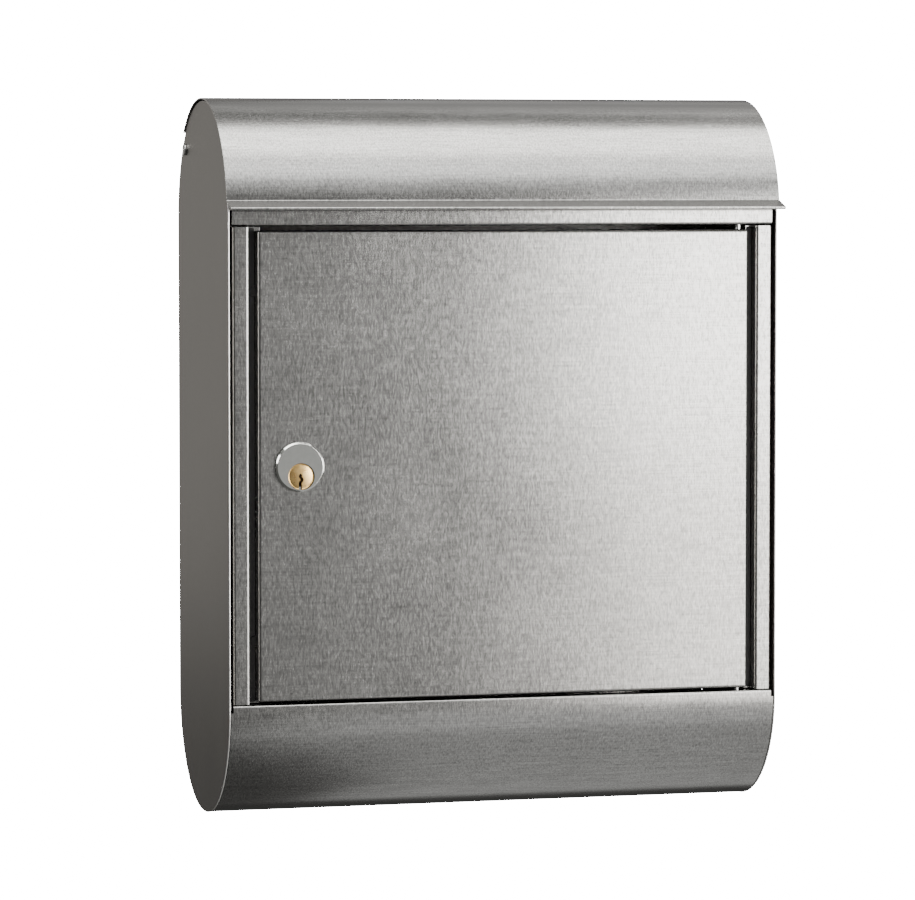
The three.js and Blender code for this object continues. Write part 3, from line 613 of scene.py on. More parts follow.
# %% From a line to a sheet
def sheet_sides(line, thickness, inset, edge):
    """Both sides of a sheet along a line, with its two rims rounded by edge and all of it shrunk by inset."""
    points = [Vector(point) for point in line]
    half = thickness / 2 - inset
    normals = []
    for i, point in enumerate(points):
        arriving = (point - points[i - 1]) if i else (points[1] - point)
        leaving = (points[i + 1] - point) if i < len(points) - 1 else arriving
        first = Vector((-arriving.y, arriving.x)).normalized()
        second = Vector((-leaving.y, leaving.x)).normalized()
        mitre = (first + second).normalized()
        normals.append(mitre / mitre.dot(first))
    left = []
    right = []
    rim = max(edge - inset, edge * 0.2)
    turns = [math.radians(90 * i / 3) for i in range(4)]

    def round_rim(point, outward, normal, angles):
        for angle in angles:
            shift = outward * (-inset - rim + rim * math.cos(angle))
            reach = half - rim + rim * math.sin(angle)
            left.append(point + shift + normal * reach)
            right.append(point + shift - normal * reach)

    round_rim(points[0], (points[0] - points[1]).normalized(), normals[0], turns)
    for point, normal in zip(points[1:-1], normals[1:-1]):
        left.append(point + normal * half)
        right.append(point - normal * half)
    round_rim(points[-1], (points[-1] - points[-2]).normalized(), normals[-1], reversed(turns))
    return left, right


def spot(axis, along, a, b):
    """A point from its place along the push axis and its two drawn coordinates."""
    return {"X": (along, a, b), "Y": (a, along, b), "Z": (a, b, along)}[axis]


def end_stations(low, high, edge):
    """Places along the push axis, with how much the drawing shrinks at each."""
    turns = [math.radians(90 * i / 3) for i in range(4)]
    near = [(low + edge * (1 - math.sin(turn)), edge * (1 - math.cos(turn))) for turn in reversed(turns)]
    far = [(high - edge * (1 - math.sin(turn)), edge * (1 - math.cos(turn))) for turn in turns]
    return near + far


print("stations across a plate:", len(end_stations(0, 1, 0.1)))

# %% [markdown]
# ## From points to a piece
# All builders end in the same helper. It cleans the mesh, turns the faces outwards, smooths what is round
# and keeps what is sharp. A second helper then gives the piece its finish, hangs it on the body that it
# rides on and hides the solid that it stands for.

# %% Finish a mesh and hand it to the frame
SHARP_ANGLE = math.radians(35)


def clean_mesh(mesh):
    """Faces outwards, round parts smooth, real corners sharp."""
    bm = bmesh.new()
    bm.from_mesh(mesh)
    bmesh.ops.remove_doubles(bm, verts=bm.verts, dist=0.0005 * MM)
    bmesh.ops.recalc_face_normals(bm, faces=bm.faces)
    for face in bm.faces:
        face.smooth = True
    for edge in bm.edges:
        edge.smooth = len(edge.link_faces) == 2 and edge.calc_face_angle() < SHARP_ANGLE
    bm.to_mesh(mesh)
    bm.free()


def mesh_object(name, points, faces):
    """An object from points and faces."""
    mesh = bpy.data.meshes.new(name)
    mesh.from_pydata([tuple(point) for point in points], [], faces)
    clean_mesh(mesh)
    piece = bpy.data.objects.new(name, mesh)
    scene.collection.objects.link(piece)
    return piece


def settle(piece, node, body, slot):
    """Gives a piece its even shading, finish and body, and hides the solid that it stands for."""
    piece.data.materials.clear()
    piece.data.materials.append(FINISH[slot])
    even = piece.modifiers.new("even_shading", "WEIGHTED_NORMAL")
    even.keep_sharp = True
    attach(piece, body)
    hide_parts(node)
    print(f"{piece.name}: {len(piece.data.polygons)} faces, rides on {body}")


def folded_sheet(name, line, thickness, axis, low, high, edge=0.18 * MM):
    """A sheet drawn as a line and pushed along an axis, with every cut edge rounded."""
    points = []
    rows = []
    for along, inset in end_stations(low, high, edge):
        left, right = sheet_sides(line, thickness, inset, edge)
        start = len(points)
        points += [spot(axis, along, *p) for p in left] + [spot(axis, along, *p) for p in right]
        rows.append((start, len(left)))
    faces = []
    count = rows[0][1]
    for (here, _), (there, _) in zip(rows, rows[1:]):
        for side in (0, count):
            faces += [(here + side + i, here + side + i + 1, there + side + i + 1, there + side + i)
                      for i in range(count - 1)]
        for i in (0, count - 1):
            faces.append((here + i, here + count + i, there + count + i, there + i))
    for start, _ in (rows[0], rows[-1]):
        faces += [(start + i, start + i + 1, start + count + i + 1, start + count + i)
                  for i in range(count - 1)]
    return mesh_object(name, points, faces)


def stacked_loops(name, loops):
    """A closed skin through loops with the same number of points. The first and last are filled."""
    count = len(loops[0])
    points = [point for loop in loops for point in loop]
    faces = []
    for row in range(len(loops) - 1):
        here = row * count
        for i in range(count):
            j = (i + 1) % count
            faces.append((here + i, here + j, here + count + j, here + count + i))
    last = (len(loops) - 1) * count
    faces.append(tuple(range(count)))
    faces.append(tuple(range(last, last + count)))
    return mesh_object(name, points, faces)


def cut_away(piece, *tools):
    """Takes tool shapes out of a piece and removes the tools."""
    combine(piece, "DIFFERENCE", tools)


def combine(piece, operation, others):
    """Joins pieces to one or takes them away, and keeps the result as plain mesh."""
    for other in others:
        step = piece.modifiers.new("combine", "BOOLEAN")
        step.operation = operation
        step.solver = "MANIFOLD"
        step.object = other
    depsgraph = bpy.context.evaluated_depsgraph_get()
    result = bpy.data.meshes.new_from_object(piece.evaluated_get(depsgraph))
    piece.modifiers.clear()
    piece.data = result
    result.name = piece.name
    clean_mesh(result)
    for other in others:
        bpy.data.objects.remove(other)


print("edges sharper than", round(math.degrees(SHARP_ANGLE)), "degrees stay sharp")

# %% [markdown]
# ## Turned pieces
# Pins, bushes, washers, buttons and the lock's parts are turned on a lathe. Their half profile is drawn as
# pairs of radius and height with small rounds at the corners, and swept round an axis.

# %% Sweep a profile round an axis
def turned_piece(name, profile, centre, towards, steps=64):
    """A lathe shape. Heights in the profile run along the direction called towards."""
    line = folded_line(profile)
    axis = Vector(towards).normalized()
    side = axis.orthogonal().normalized()
    cross = axis.cross(side)
    points = []
    rings_found = []
    for radius, height in line:
        foot = Vector(centre) + axis * height
        if radius < 1e-9:
            rings_found.append([len(points)] * steps)
            points.append(foot)
            continue
        rings_found.append(list(range(len(points), len(points) + steps)))
        for i in range(steps):
            angle = 2 * math.pi * i / steps
            points.append(foot + (side * math.cos(angle) + cross * math.sin(angle)) * radius)
    faces = []
    for near, far in zip(rings_found, rings_found[1:]):
        for i in range(steps):
            j = (i + 1) % steps
            corners = list(dict.fromkeys([near[i], near[j], far[j], far[i]]))
            faces.append(tuple(corners))
    return mesh_object(name, points, faces)


def drill(radius, start, end, steps=48):
    """A plain rod between two points, only used to cut holes."""
    start = Vector(start)
    length = (Vector(end) - start).length
    profile = [(0, 0), (radius, 0), (radius, length), (0, length)]
    return turned_piece("drill", profile, start, Vector(end) - start, steps)


print(f"each bore is {DRILL_GAP / MM:.1f} mm larger in radius than its pin")

# %% [markdown]
# ## Side plates
# Each side plate is cut flat from 1.2 mm sheet, with a half-round at the top and at the bottom. Its front
# edge shows as a thin bright line, because the cut edge is rounded and somewhere on that round it always
# mirrors a light, and because the side finish paints a highlight on that round. So the rounding is the
# point of this piece: the outline is stacked from loops.

# %% Build the side plates
PLATE_EDGE = 0.55 * MM


def plate_outline(x, inset):
    """The plate's outline at one place through its thickness."""
    top = arc_points((round_y, round_z), round_radius - inset, 0, 180)
    bottom = arc_points((round_y, -round_z), round_radius - inset, 180, 360)
    return [(x, y, z) for y, z in top + bottom]


pin_low, pin_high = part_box("flap_pin_left")
pivot_y = (pin_low.y + pin_high.y) / 2
pivot_z = (pin_low.z + pin_high.z) / 2
FLAP_PIN = 2.0 * MM
for name in ("side_plate_left", "side_plate_right"):
    low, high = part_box(name)
    plate = stacked_loops(name + "_sheet", [plate_outline(x, inset)
                                            for x, inset in end_stations(low.x, high.x, PLATE_EDGE)])
    cut_away(plate, drill(FLAP_PIN + DRILL_GAP, (low.x - MM, pivot_y, pivot_z),
                          (high.x + MM, pivot_y, pivot_z)))
    settle(plate, name, "housing", "side_sheet")

# %% [markdown]
# ## Rail and stiles
# A channel closes the frame above the door. On the real box it is one strip with both edges folded back, so
# it is one drawn line with two folds here, pushed from side to side. The upper hinge pin goes through its
# lower fold.

# %% Build the rail above the door
rail_line = folded_line([
    (rail_high.y, rail_low.z + SHEET / 2),
    (rail_low.y + SHEET / 2, rail_low.z + SHEET / 2, FOLD),
    (rail_low.y + SHEET / 2, rail_high.z - SHEET / 2, FOLD),
    (rail_high.y, rail_high.z - SHEET / 2),
])
rail = folded_sheet("rail_channel", rail_line, SHEET, "X", rail_low.x, rail_high.x)
hinge_low, hinge_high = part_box("hinge_pin_upper")
hinge_x = (hinge_low.x + hinge_high.x) / 2
hinge_y = (hinge_low.y + hinge_high.y) / 2
HINGE_PIN = 2.0 * MM
rail_floor = rail_low.z + SHEET / 2
cut_away(rail, drill(HINGE_PIN + DRILL_GAP, (hinge_x, hinge_y, rail_floor - MM),
                     (hinge_x, hinge_y, rail_floor + MM)))
settle(rail, "top_rail", "housing", "zinc_sheet")

# %% [markdown]
# An upright stile stands at each side of the door. It lies with one narrow foot on the side plate, comes
# forward to the frame's face, and goes back along the door to a stop. One drawn line makes both: the right
# one is its mirror, with a narrower stop. The rounded fold beside the door is what shines from the front:
# it mirrors a light, and the zinc finish adds a painted highlight where the fold looks sideways.

# %% Build the stiles beside the door
STOP_DEPTH = 10.5 * MM
STOP_WIDTH = {"stile_left": 10.0 * MM, "stile_right": 4.5 * MM}
STILE_FOOT = 9.0 * MM
STILE_FACE = 11.5 * MM
FOOT_RISE = 3.0 * MM
frame_end = rail_high.x
stop_y = face_y + STOP_DEPTH
buffer_low, buffer_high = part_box("door_buffer_lower")
buffer_x = (buffer_low.x + buffer_high.x) / 2
BUFFER_STEM = 2.0 * MM
for name, side in (("stile_left", -1), ("stile_right", 1)):
    low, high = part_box(name)
    foot_x = plate_inner - SEAT_GAP - SHEET / 2
    face_outer = frame_end - SHEET / 2
    face_inner = frame_end - STILE_FACE + SHEET / 2
    stop_end = face_inner - STOP_WIDTH[name]
    across = [
        (foot_x, stop_y - SHEET + STILE_FOOT), (foot_x, stop_y - SHEET),
        (face_outer, stop_y - SHEET - FOOT_RISE), (face_outer, face_y + SHEET / 2, FOLD),
        (face_inner, face_y + SHEET / 2, FOLD), (face_inner, stop_y + SHEET / 2, TIGHT_FOLD),
        (stop_end, stop_y + SHEET / 2),
    ]
    line = folded_line([(side * corner[0], *corner[1:]) for corner in across])
    stile = folded_sheet(name + "_fold", line, SHEET, "Z", low.z, high.z)
    if side < 0:
        for button in ("door_buffer_lower", "door_buffer_upper"):
            button_low, button_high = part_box(button)
            z = (button_low.z + button_high.z) / 2
            cut_away(stile, drill(BUFFER_STEM + DRILL_GAP, (buffer_x, stop_y - MM, z),
                                  (buffer_x, stop_y + SHEET + MM, z)))
    settle(stile, name, "housing", "zinc_sheet")

# %% [markdown]
# Two foam strips lie on the stops, beside the door's folded edges, to keep rain and draught out. Their black
# is a painted shade: a dark strip put where the deep gaps beside the door fall into shade, so the gaps look
# black. A strip is a bar with rounded ends, cut where a button stands.

# %% Build the foam strips
SEAL_ROUND = 0.35 * MM
buffer_radius = (buffer_high.x - buffer_low.x) / 2
for name in ("door_seal_left", "door_seal_right"):
    low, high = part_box(name)
    loops = [[(low.x + inset, low.y + inset, z), (high.x - inset, low.y + inset, z),
              (high.x - inset, high.y - inset, z), (low.x + inset, high.y - inset, z)]
             for z, inset in end_stations(low.z, high.z, SEAL_ROUND)]
    strip = stacked_loops(name + "_strip", loops)
    if high.x < 0:
        for button in ("door_buffer_lower", "door_buffer_upper"):
            button_low, button_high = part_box(button)
            z = (button_low.z + button_high.z) / 2
            cut_away(strip, drill(buffer_radius + SEAT_GAP, (buffer_x, low.y - MM, z),
                                  (buffer_x, high.y + MM, z)))
    # The black of the strips is a painted shade for the deep gaps beside the door.
    settle(strip, name, "housing", "black_rubber")

# %% [markdown]
# ## Bottom panel
# One sheet makes the apron under the door, the half-round trough and the lap inside the back. At its upper
# corners it is notched to clear the frame, and three small holes at the lowest line let rain out.

# %% Build the bottom panel
bottom_low, bottom_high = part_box("bottom_panel")
skin_radius = (round_y - bottom_low.y) - SHEET / 2
lap_y = -SHEET - SEAT_GAP - SHEET / 2
LAP_RAMP = 3.5 * MM
LAP_END_CUT = 4.0 * MM
CORNER_NOTCH = 4.5 * MM
DRAIN = 3.0 * MM
DRAIN_INSET = 70 * MM
FRAME_GAP = 0.6 * MM
top_fold_z = stile_low.z - FRAME_GAP
bottom_line = folded_line([
    (round_y - skin_radius + rail_depth, top_fold_z - SHEET / 2),
    (round_y - skin_radius, top_fold_z - SHEET / 2, TIGHT_FOLD),
    *arc_points((round_y, -round_z), skin_radius, 180, 360),
    (lap_y, -round_z + LAP_RAMP),
    (lap_y, bottom_high.z),
])
bottom = folded_sheet("trough_and_apron", bottom_line, SHEET, "X", bottom_low.x, bottom_high.x)


def block(name, low, high):
    """A plain block between two corners, only used to cut notches."""
    corners = [(x, y, z) for z in (low[2], high[2]) for x, y in
               ((low[0], low[1]), (high[0], low[1]), (high[0], high[1]), (low[0], high[1]))]
    return stacked_loops(name, [corners[:4], corners[4:]])


for side in (-1, 1):
    near, far = sorted((side * frame_end, side * (bottom_high.x + MM)))
    notch = block("notch", (near, bottom_low.y - MM, top_fold_z - CORNER_NOTCH),
                  (far, face_y + rail_depth + MM, top_fold_z + MM))
    near, far = sorted((side * (bottom_high.x - LAP_END_CUT), side * (bottom_high.x + MM)))
    lap_end = block("lap_end", (near, lap_y - MM, -round_z + LAP_RAMP / 2),
                    (far, MM, bottom_high.z + MM))
    cut_away(bottom, notch, lap_end)
drain_x = plate_outer - DRAIN_INSET
for x in (-drain_x, 0, drain_x):
    cut_away(bottom, drill(DRAIN, (x, round_y, bottom_low.z - MM), (x, round_y, bottom_low.z + 4 * MM)))
cut_away(bottom, drill(HINGE_PIN + DRILL_GAP, (hinge_x, hinge_y, top_fold_z - 2 * MM),
                       (hinge_x, hinge_y, top_fold_z + MM)))
settle(bottom, "bottom_panel", "housing", "zinc_sheet")

# %% [markdown]
# ## Back panel
# The back lies flat on the wall, is folded along both side plates, and runs over the top as a half-round
# tail under the flap. A small hem stiffens the rear edge of the letter slot. Two keyholes and two round
# holes take the wall screws.

# %% Build the back panel
back_low, back_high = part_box("back_panel")
SIDE_FLANGE = 10 * MM
TAIL_INSET = 3 * MM
TAIL_ANGLE = 110
TAIL_HEM = 8 * MM
TAIL_END = 6.8 * MM
TAIL_LAP = 12 * MM
back_edge = back_high.x - SHEET / 2
back_top = round_z - LAP_RAMP
back_line = folded_line([
    (-back_edge, -SIDE_FLANGE), (-back_edge, -SHEET / 2, FOLD), (back_edge, -SHEET / 2, FOLD),
    (back_edge, -SIDE_FLANGE),
])
back = folded_sheet("back_sheet", back_line, SHEET, "Z", back_low.z, back_top)
tail_arc = arc_points((round_y, round_z), round_radius - TAIL_INSET, 0, TAIL_ANGLE)
tip = Vector(tail_arc[-1])
inwards = (Vector((round_y, round_z)) - tip).normalized() * TAIL_HEM
tail_line = folded_line([(-SHEET / 2, back_top - TAIL_LAP), (-SHEET / 2, back_top), *tail_arc[:-1],
                         (*tip, FOLD), tuple(tip + inwards)])
tail_half = plate_inner - TAIL_END
tail = folded_sheet("back_tail", tail_line, SHEET, "X", -tail_half, tail_half)
combine(back, "UNION", [tail])
HOLE_INSET = 45 * MM
SCREW_SLOT = 3.5 * MM
SCREW_HEAD = 6.5 * MM
KEYHOLE_DROP = 11 * MM
SCREW_INSET = 35 * MM
hole_x = plate_outer - HOLE_INSET
slot_z = back_top - SCREW_INSET
entry_z = slot_z - KEYHOLE_DROP
for x in (-hole_x, hole_x):
    cut_away(back, block("slot", (x - SCREW_SLOT, -2 * MM, entry_z), (x + SCREW_SLOT, MM, slot_z)))
    for z, radius in ((slot_z, SCREW_SLOT), (entry_z, SCREW_HEAD), (back_low.z + SCREW_INSET, SCREW_SLOT)):
        cut_away(back, drill(radius, (x, -2 * MM, z), (x, MM, z)))
settle(back, "back_panel", "housing", "inner_sheet")

# %% [markdown]
# ## Flap
# The flap is a half-round skin that ends in a flared lip with a narrow fold under it. It stands a
# millimetre off the plates and past them at both sides. A bent plane would show no thickness at its ends,
# so the skin is drawn as one line, an arc and two folds, and pushed from side to side.

# %% Build the flap's skin and lip
flap_low, flap_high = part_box("flap_shell")
flap_radius = (flap_high.z - round_z) - SHEET / 2
FLAP_REAR_ANGLE = 45.8
LIP_RISE = 10.8 * MM
LIP_TIP_RISE = 5.6 * MM
LIP_RETURN = 10.5 * MM
LIP_ROOT_FOLD = 1.1 * MM
LIP_TIP_FOLD = 0.56 * MM
LIP_TIP_LOSS = 1.6 * MM
LIP_END_CUT = 6 * MM
LIP_TIP_KEPT = 2.2 * MM
lip_angle = 180 - math.degrees(math.asin(LIP_RISE / flap_radius))
skin = arc_points((round_y, round_z), flap_radius, FLAP_REAR_ANGLE, lip_angle)
lip_y = flap_low.y - LIP_TIP_LOSS
lip_z = round_z + LIP_TIP_RISE
flap_line = folded_line([*skin[:-1], (*skin[-1], LIP_ROOT_FOLD), (lip_y, lip_z, LIP_TIP_FOLD),
                         (lip_y + LIP_RETURN + LIP_TIP_LOSS, lip_z - SHEET)])
flap = folded_sheet("flap_skin", flap_line, SHEET, "X", flap_low.x, flap_high.x)
for side in (-1, 1):
    near, far = sorted((side * (flap_high.x - LIP_END_CUT), side * (flap_high.x + MM)))
    cut_away(flap, block("lip_end", (near, flap_low.y + LIP_TIP_KEPT, lip_z - 3 * SHEET),
                         (far, lip_y + LIP_RETURN + 4 * MM, lip_z - 0.4 * SHEET)))
settle(flap, "flap_shell", "flap", "zinc_sheet")

# %% [markdown]
# Two ears under the skin turn on short pins, so the ears and the skin ride together on the flap's body. An
# ear is a small web that hangs from the skin on a curved tab, and the web has the hole for the pin.

# %% Build the flap's ears
EAR_FROM = 47
EAR_TO = 78
EAR_END = 7 * MM
EAR_TAB = 10 * MM
EAR_EDGE = 0.15 * MM
TAB_TRIM = 0.4
TAB_THINNER = 0.96
seat_radius = flap_radius - SHEET / 2 - SEAT_GAP


def ear_outline(x, inset):
    """The ear's web at one place through its thickness."""
    seat = arc_points((round_y, round_z), seat_radius - inset, EAR_FROM + inset / MM, EAR_TO - inset / MM)
    nose = arc_points((pivot_y, pivot_z), EAR_END - inset, 150, 340, 6)
    return [(x, y, z) for y, z in seat + nose]


for name, side in (("flap_ear_left", -1), ("flap_ear_right", 1)):
    low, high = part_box(name)
    outer = max(abs(low.x), abs(high.x))
    web_range = sorted((side * outer, side * (outer - THICK_SHEET)))
    tab_range = sorted((side * (outer - THICK_SHEET / 2), side * (outer - THICK_SHEET - EAR_TAB)))
    ear = stacked_loops(name + "_fold", [ear_outline(x, inset)
                                         for x, inset in end_stations(*web_range, EAR_EDGE)])
    tab_line = arc_points((round_y, round_z), seat_radius - SHEET / 2, EAR_FROM + TAB_TRIM, EAR_TO - TAB_TRIM)
    combine(ear, "UNION", [folded_sheet("tab", tab_line, SHEET * TAB_THINNER, "X", *tab_range)])
    cut_away(ear, drill(FLAP_PIN + DRILL_GAP, (web_range[0] - MM, pivot_y, pivot_z),
                        (web_range[1] + MM, pivot_y, pivot_z)))
    settle(ear, name, "flap", "inner_sheet")

# %% [markdown]
# ## Door
# The door is a shallow pan: a flat face whose four edges are folded back. The pan is stacked from rounded
# rectangles that follow the outside from the rear edge round the fold to the face, and then the inside back
# again, so it has real thickness wherever it is looked at. At each corner the folds don't quite meet.

# %% Build the door's pan
door_half = door_high.x
door_depth = door_high.y - door_low.y
CORNER_ROUND = 1.3 * MM
FOLD_OUTSIDE = 2.1 * MM
RIM_ROUND = 0.25 * MM
TIGHTEST_CORNER = 0.3 * MM


def door_loop(inset, y):
    """A rounded rectangle round the door's edge, at one depth."""
    radius = max(CORNER_ROUND - inset, TIGHTEST_CORNER)
    half = door_half - inset - radius
    low = door_low.z + inset + radius
    high = door_high.z - inset - radius
    corners = (((half, high), 0), ((-half, high), 90), ((-half, low), 180), ((half, low), 270))
    return [(x, y, z) for centre, start in corners
            for x, z in arc_points(centre, radius, start, start + 90, 22.5)]


door_path = []
fold_turns = [math.radians(90 * i / 6) for i in range(7)]
for turn in fold_turns:
    door_path.append((FOLD_OUTSIDE * (1 - math.sin(turn)), face_y + FOLD_OUTSIDE * (1 - math.cos(turn))))
rim_y = face_y + door_depth
rim_turns = [math.radians(90 * i / 3) for i in range(4)]
door_path += [(RIM_ROUND * (1 - math.cos(turn)), rim_y - RIM_ROUND * (1 - math.sin(turn)))
              for turn in rim_turns]
door_path += [(SHEET - RIM_ROUND * (1 - math.cos(turn)), rim_y - RIM_ROUND * (1 - math.sin(turn)))
              for turn in reversed(rim_turns)]
inner_fold = FOLD_OUTSIDE - SHEET
door_path += [(SHEET + inner_fold * (1 - math.sin(turn)), face_y + SHEET + inner_fold * (1 - math.cos(turn)))
              for turn in reversed(fold_turns)]
door = stacked_loops("door_pan", [door_loop(inset, y) for inset, y in door_path])
lock_radius = (lock_high.x - lock_low.x) / 2
LOCK_LIP = 1.5 * MM
BUSH_RADIUS = 3.4 * MM
body_radius = lock_radius - LOCK_LIP
cut_away(door, drill(body_radius + DRILL_GAP, (lock_x, face_y - MM, lock_z),
                     (lock_x, face_y + 3 * MM, lock_z), 72))
for z in (door_low.z, door_high.z):
    cut_away(door, drill(BUSH_RADIUS + DRILL_GAP, (hinge_x, hinge_y, z - 2 * MM),
                         (hinge_x, hinge_y, z + 2 * MM)))
CORNER_SLIT = 0.35 * MM
SLIT_REACH = 3 * MM
SLIT_START = FOLD_OUTSIDE + 0.6 * MM
for x in (-1, 1):
    for z, edge_z in ((-1, door_low.z), (1, door_high.z)):
        centre = Vector((x * (door_half - SHEET), 0, edge_z - z * SHEET))
        slit = block("slit", (-SLIT_REACH, face_y + SLIT_START, -CORNER_SLIT / 2),
                     (SLIT_REACH, rim_y + MM, CORNER_SLIT / 2))
        slit.data.transform(Matrix.Translation(centre) @ Matrix.Rotation(math.radians(-45 * x * z), 4, "Y"))
        cut_away(door, slit)
settle(door, "door_skin", "door", "zinc_sheet")

# %% [markdown]
# ## Pins, bushes, clips and buttons
# These are small turned pieces, but they are what things turn on. The door swings on two headed pins, each in
# a flanged nylon bush, which keeps steel from rubbing on zinc. The upper and lower ones are the same shape
# turned over, so one loop makes all four.

# %% Build the hinge pins and their bushes
HINGE_HEAD = 1.5 * MM
for level, up in (("upper", 1), ("lower", -1)):
    pin_low, pin_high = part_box("hinge_pin_" + level)
    height = pin_high.z - pin_low.z
    head_z = pin_high.z if up > 0 else pin_low.z
    head_radius = (pin_high.x - pin_low.x) / 2
    profile = [(0, 0), (head_radius, 0, 0.4 * MM), (head_radius, HINGE_HEAD, 0.1 * MM),
               (HINGE_PIN, HINGE_HEAD), (HINGE_PIN, height, 0.4 * MM), (0, height)]
    pin = turned_piece("hinge_pin_" + level + "_turned", profile, (hinge_x, hinge_y, head_z), (0, 0, -up))
    settle(pin, "hinge_pin_" + level, "housing", "plated_steel")
    bush_low, bush_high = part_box("hinge_bush_" + level)
    top = bush_high.z if up > 0 else bush_low.z
    length = bush_high.z - bush_low.z
    flange_radius = (bush_high.x - bush_low.x) / 2
    bore = HINGE_PIN + DRILL_GAP
    flange_at = SHEET + SEAT_GAP
    profile = [(bore, 0), (BUSH_RADIUS, 0, 0.2 * MM), (BUSH_RADIUS, flange_at),
               (flange_radius, flange_at, 0.15 * MM), (flange_radius, flange_at + SHEET, 0.15 * MM),
               (BUSH_RADIUS, flange_at + SHEET), (BUSH_RADIUS, length, 0.3 * MM), (bore, length), (bore, 0)]
    bush = turned_piece("hinge_bush_" + level + "_turned", profile, (hinge_x, hinge_y, top), (0, 0, -up))
    settle(bush, "hinge_bush_" + level, "door", "white_nylon")

# %% [markdown]
# The flap turns on two pins that go through the side plates, with their domed heads outside and a round
# clip inside that keeps each from falling out.

# %% Build the flap's pins and clips
FLAP_HEAD = 1.4 * MM
for side_name, side in (("left", -1), ("right", 1)):
    pin_low, pin_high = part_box("flap_pin_" + side_name)
    length = pin_high.x - pin_low.x
    outer = max(abs(pin_low.x), abs(pin_high.x))
    head_radius = (pin_high.z - pin_low.z) / 2
    profile = [(0, 0), (head_radius, 0, 0.6 * MM), (head_radius, FLAP_HEAD, 0.1 * MM), (FLAP_PIN, FLAP_HEAD),
               (FLAP_PIN, length, 0.4 * MM), (0, length)]
    pin = turned_piece("flap_pin_" + side_name + "_turned", profile, (side * outer, pivot_y, pivot_z),
                       (-side, 0, 0))
    settle(pin, "flap_pin_" + side_name, "housing", "plated_steel")
    clip_low, clip_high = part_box("flap_clip_" + side_name)
    clip_outer = max(abs(clip_low.x), abs(clip_high.x))
    clip_radius = (clip_high.z - clip_low.z) / 2
    clip_depth = clip_high.x - clip_low.x
    bore = FLAP_PIN + DRILL_GAP
    profile = [(bore, 0), (clip_radius, 0, 0.2 * MM), (clip_radius, clip_depth, 0.2 * MM),
               (bore, clip_depth), (bore, 0)]
    clip = turned_piece("flap_clip_" + side_name + "_turned", profile,
                        (side * clip_outer, pivot_y, pivot_z), (-side, 0, 0))
    settle(clip, "flap_clip_" + side_name, "housing", "plated_steel")

# %% [markdown]
# Two rubber buttons keep the door from rattling on its stop. Each has a cap in front, a stem through the
# sheet and a small bulge behind it that holds it in, all in one profile.

# %% Build the rubber buttons
for level in ("lower", "upper"):
    low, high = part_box("door_buffer_" + level)
    radius = (high.x - low.x) / 2
    z = (low.z + high.z) / 2
    cap = stop_y - SEAT_GAP - low.y
    behind = stop_y + SHEET + SEAT_GAP - low.y
    length = high.y - low.y
    profile = [(0, 0), (radius, 0, 0.35 * MM), (radius, cap), (BUFFER_STEM, cap), (BUFFER_STEM, behind),
               (BUFFER_STEM + MM, behind, 0.2 * MM), (BUFFER_STEM, length, 0.3 * MM), (0, length)]
    button = turned_piece("door_buffer_" + level + "_moulded", profile, (buffer_x, low.y, z), (0, 1, 0))
    settle(button, "door_buffer_" + level, "housing", "black_rubber")

# %% [markdown]
# ## Lock
# A cam lock goes through the door: a polished round face, and a threaded body with a nut behind the sheet.
# Face and body are one turned piece. The thread is drawn as plain rings and not as a helix, because the two
# look the same at this size, and rings are far simpler to sweep.

# %% Build the lock's polished face and threaded body
LOCK_BEVEL = 1.1 * MM
BEVEL_ROUND = 0.5 * MM
THREAD_PITCH = 1.0 * MM
THREAD_DEPTH = 0.45 * MM
housing_front = lock_low.y
housing_length = lock_high.y - lock_low.y
flange_back = face_y - SEAT_GAP - housing_front
thread_start = flange_back + SEAT_GAP + SHEET + SEAT_GAP
profile = [(0, 0), (lock_radius - LOCK_BEVEL, 0, BEVEL_ROUND), (lock_radius, LOCK_BEVEL, BEVEL_ROUND),
           (lock_radius, flange_back, 0.15 * MM), (body_radius, flange_back), (body_radius, thread_start)]
turns = int((housing_length - thread_start - MM) / THREAD_PITCH)
for i in range(turns):
    start = thread_start + THREAD_PITCH * i
    profile += [(body_radius - THREAD_DEPTH, start + THREAD_PITCH * 0.5), (body_radius, start + THREAD_PITCH)]
profile += [(body_radius - THREAD_DEPTH, housing_length), (0, housing_length)]
housing = turned_piece("lock_face_and_body", profile, (lock_x, housing_front, lock_z), (0, 1, 0), 96)
plug_radius = (plug_high.x - plug_low.x) / 2
PLUG_HEAD = 2.2 * MM
PLUG_LIP = 2.25 * MM
PLUG_GAP = 0.15 * MM
shank_radius = plug_radius - PLUG_LIP
seat_y = housing_front + PLUG_HEAD + SEAT_GAP
ahead_of_lock = (plug_x, housing_front - MM, plug_z)
behind_lock = (plug_x, lock_high.y + MM, plug_z)
cut_away(housing, drill(plug_radius + PLUG_GAP, ahead_of_lock, (plug_x, seat_y, plug_z), 96))
cut_away(housing, drill(shank_radius + DRILL_GAP, ahead_of_lock, behind_lock, 72))
settle(housing, "lock_housing", "door", "polished_metal")

# %% [markdown]
# The brass plug stands off centre in the face. Its front is slightly domed, so it shades from one side to
# the other, and its keyway winds down from just above its middle to its rim. A thick folded sheet in the
# shape of that winding line cuts the keyway.

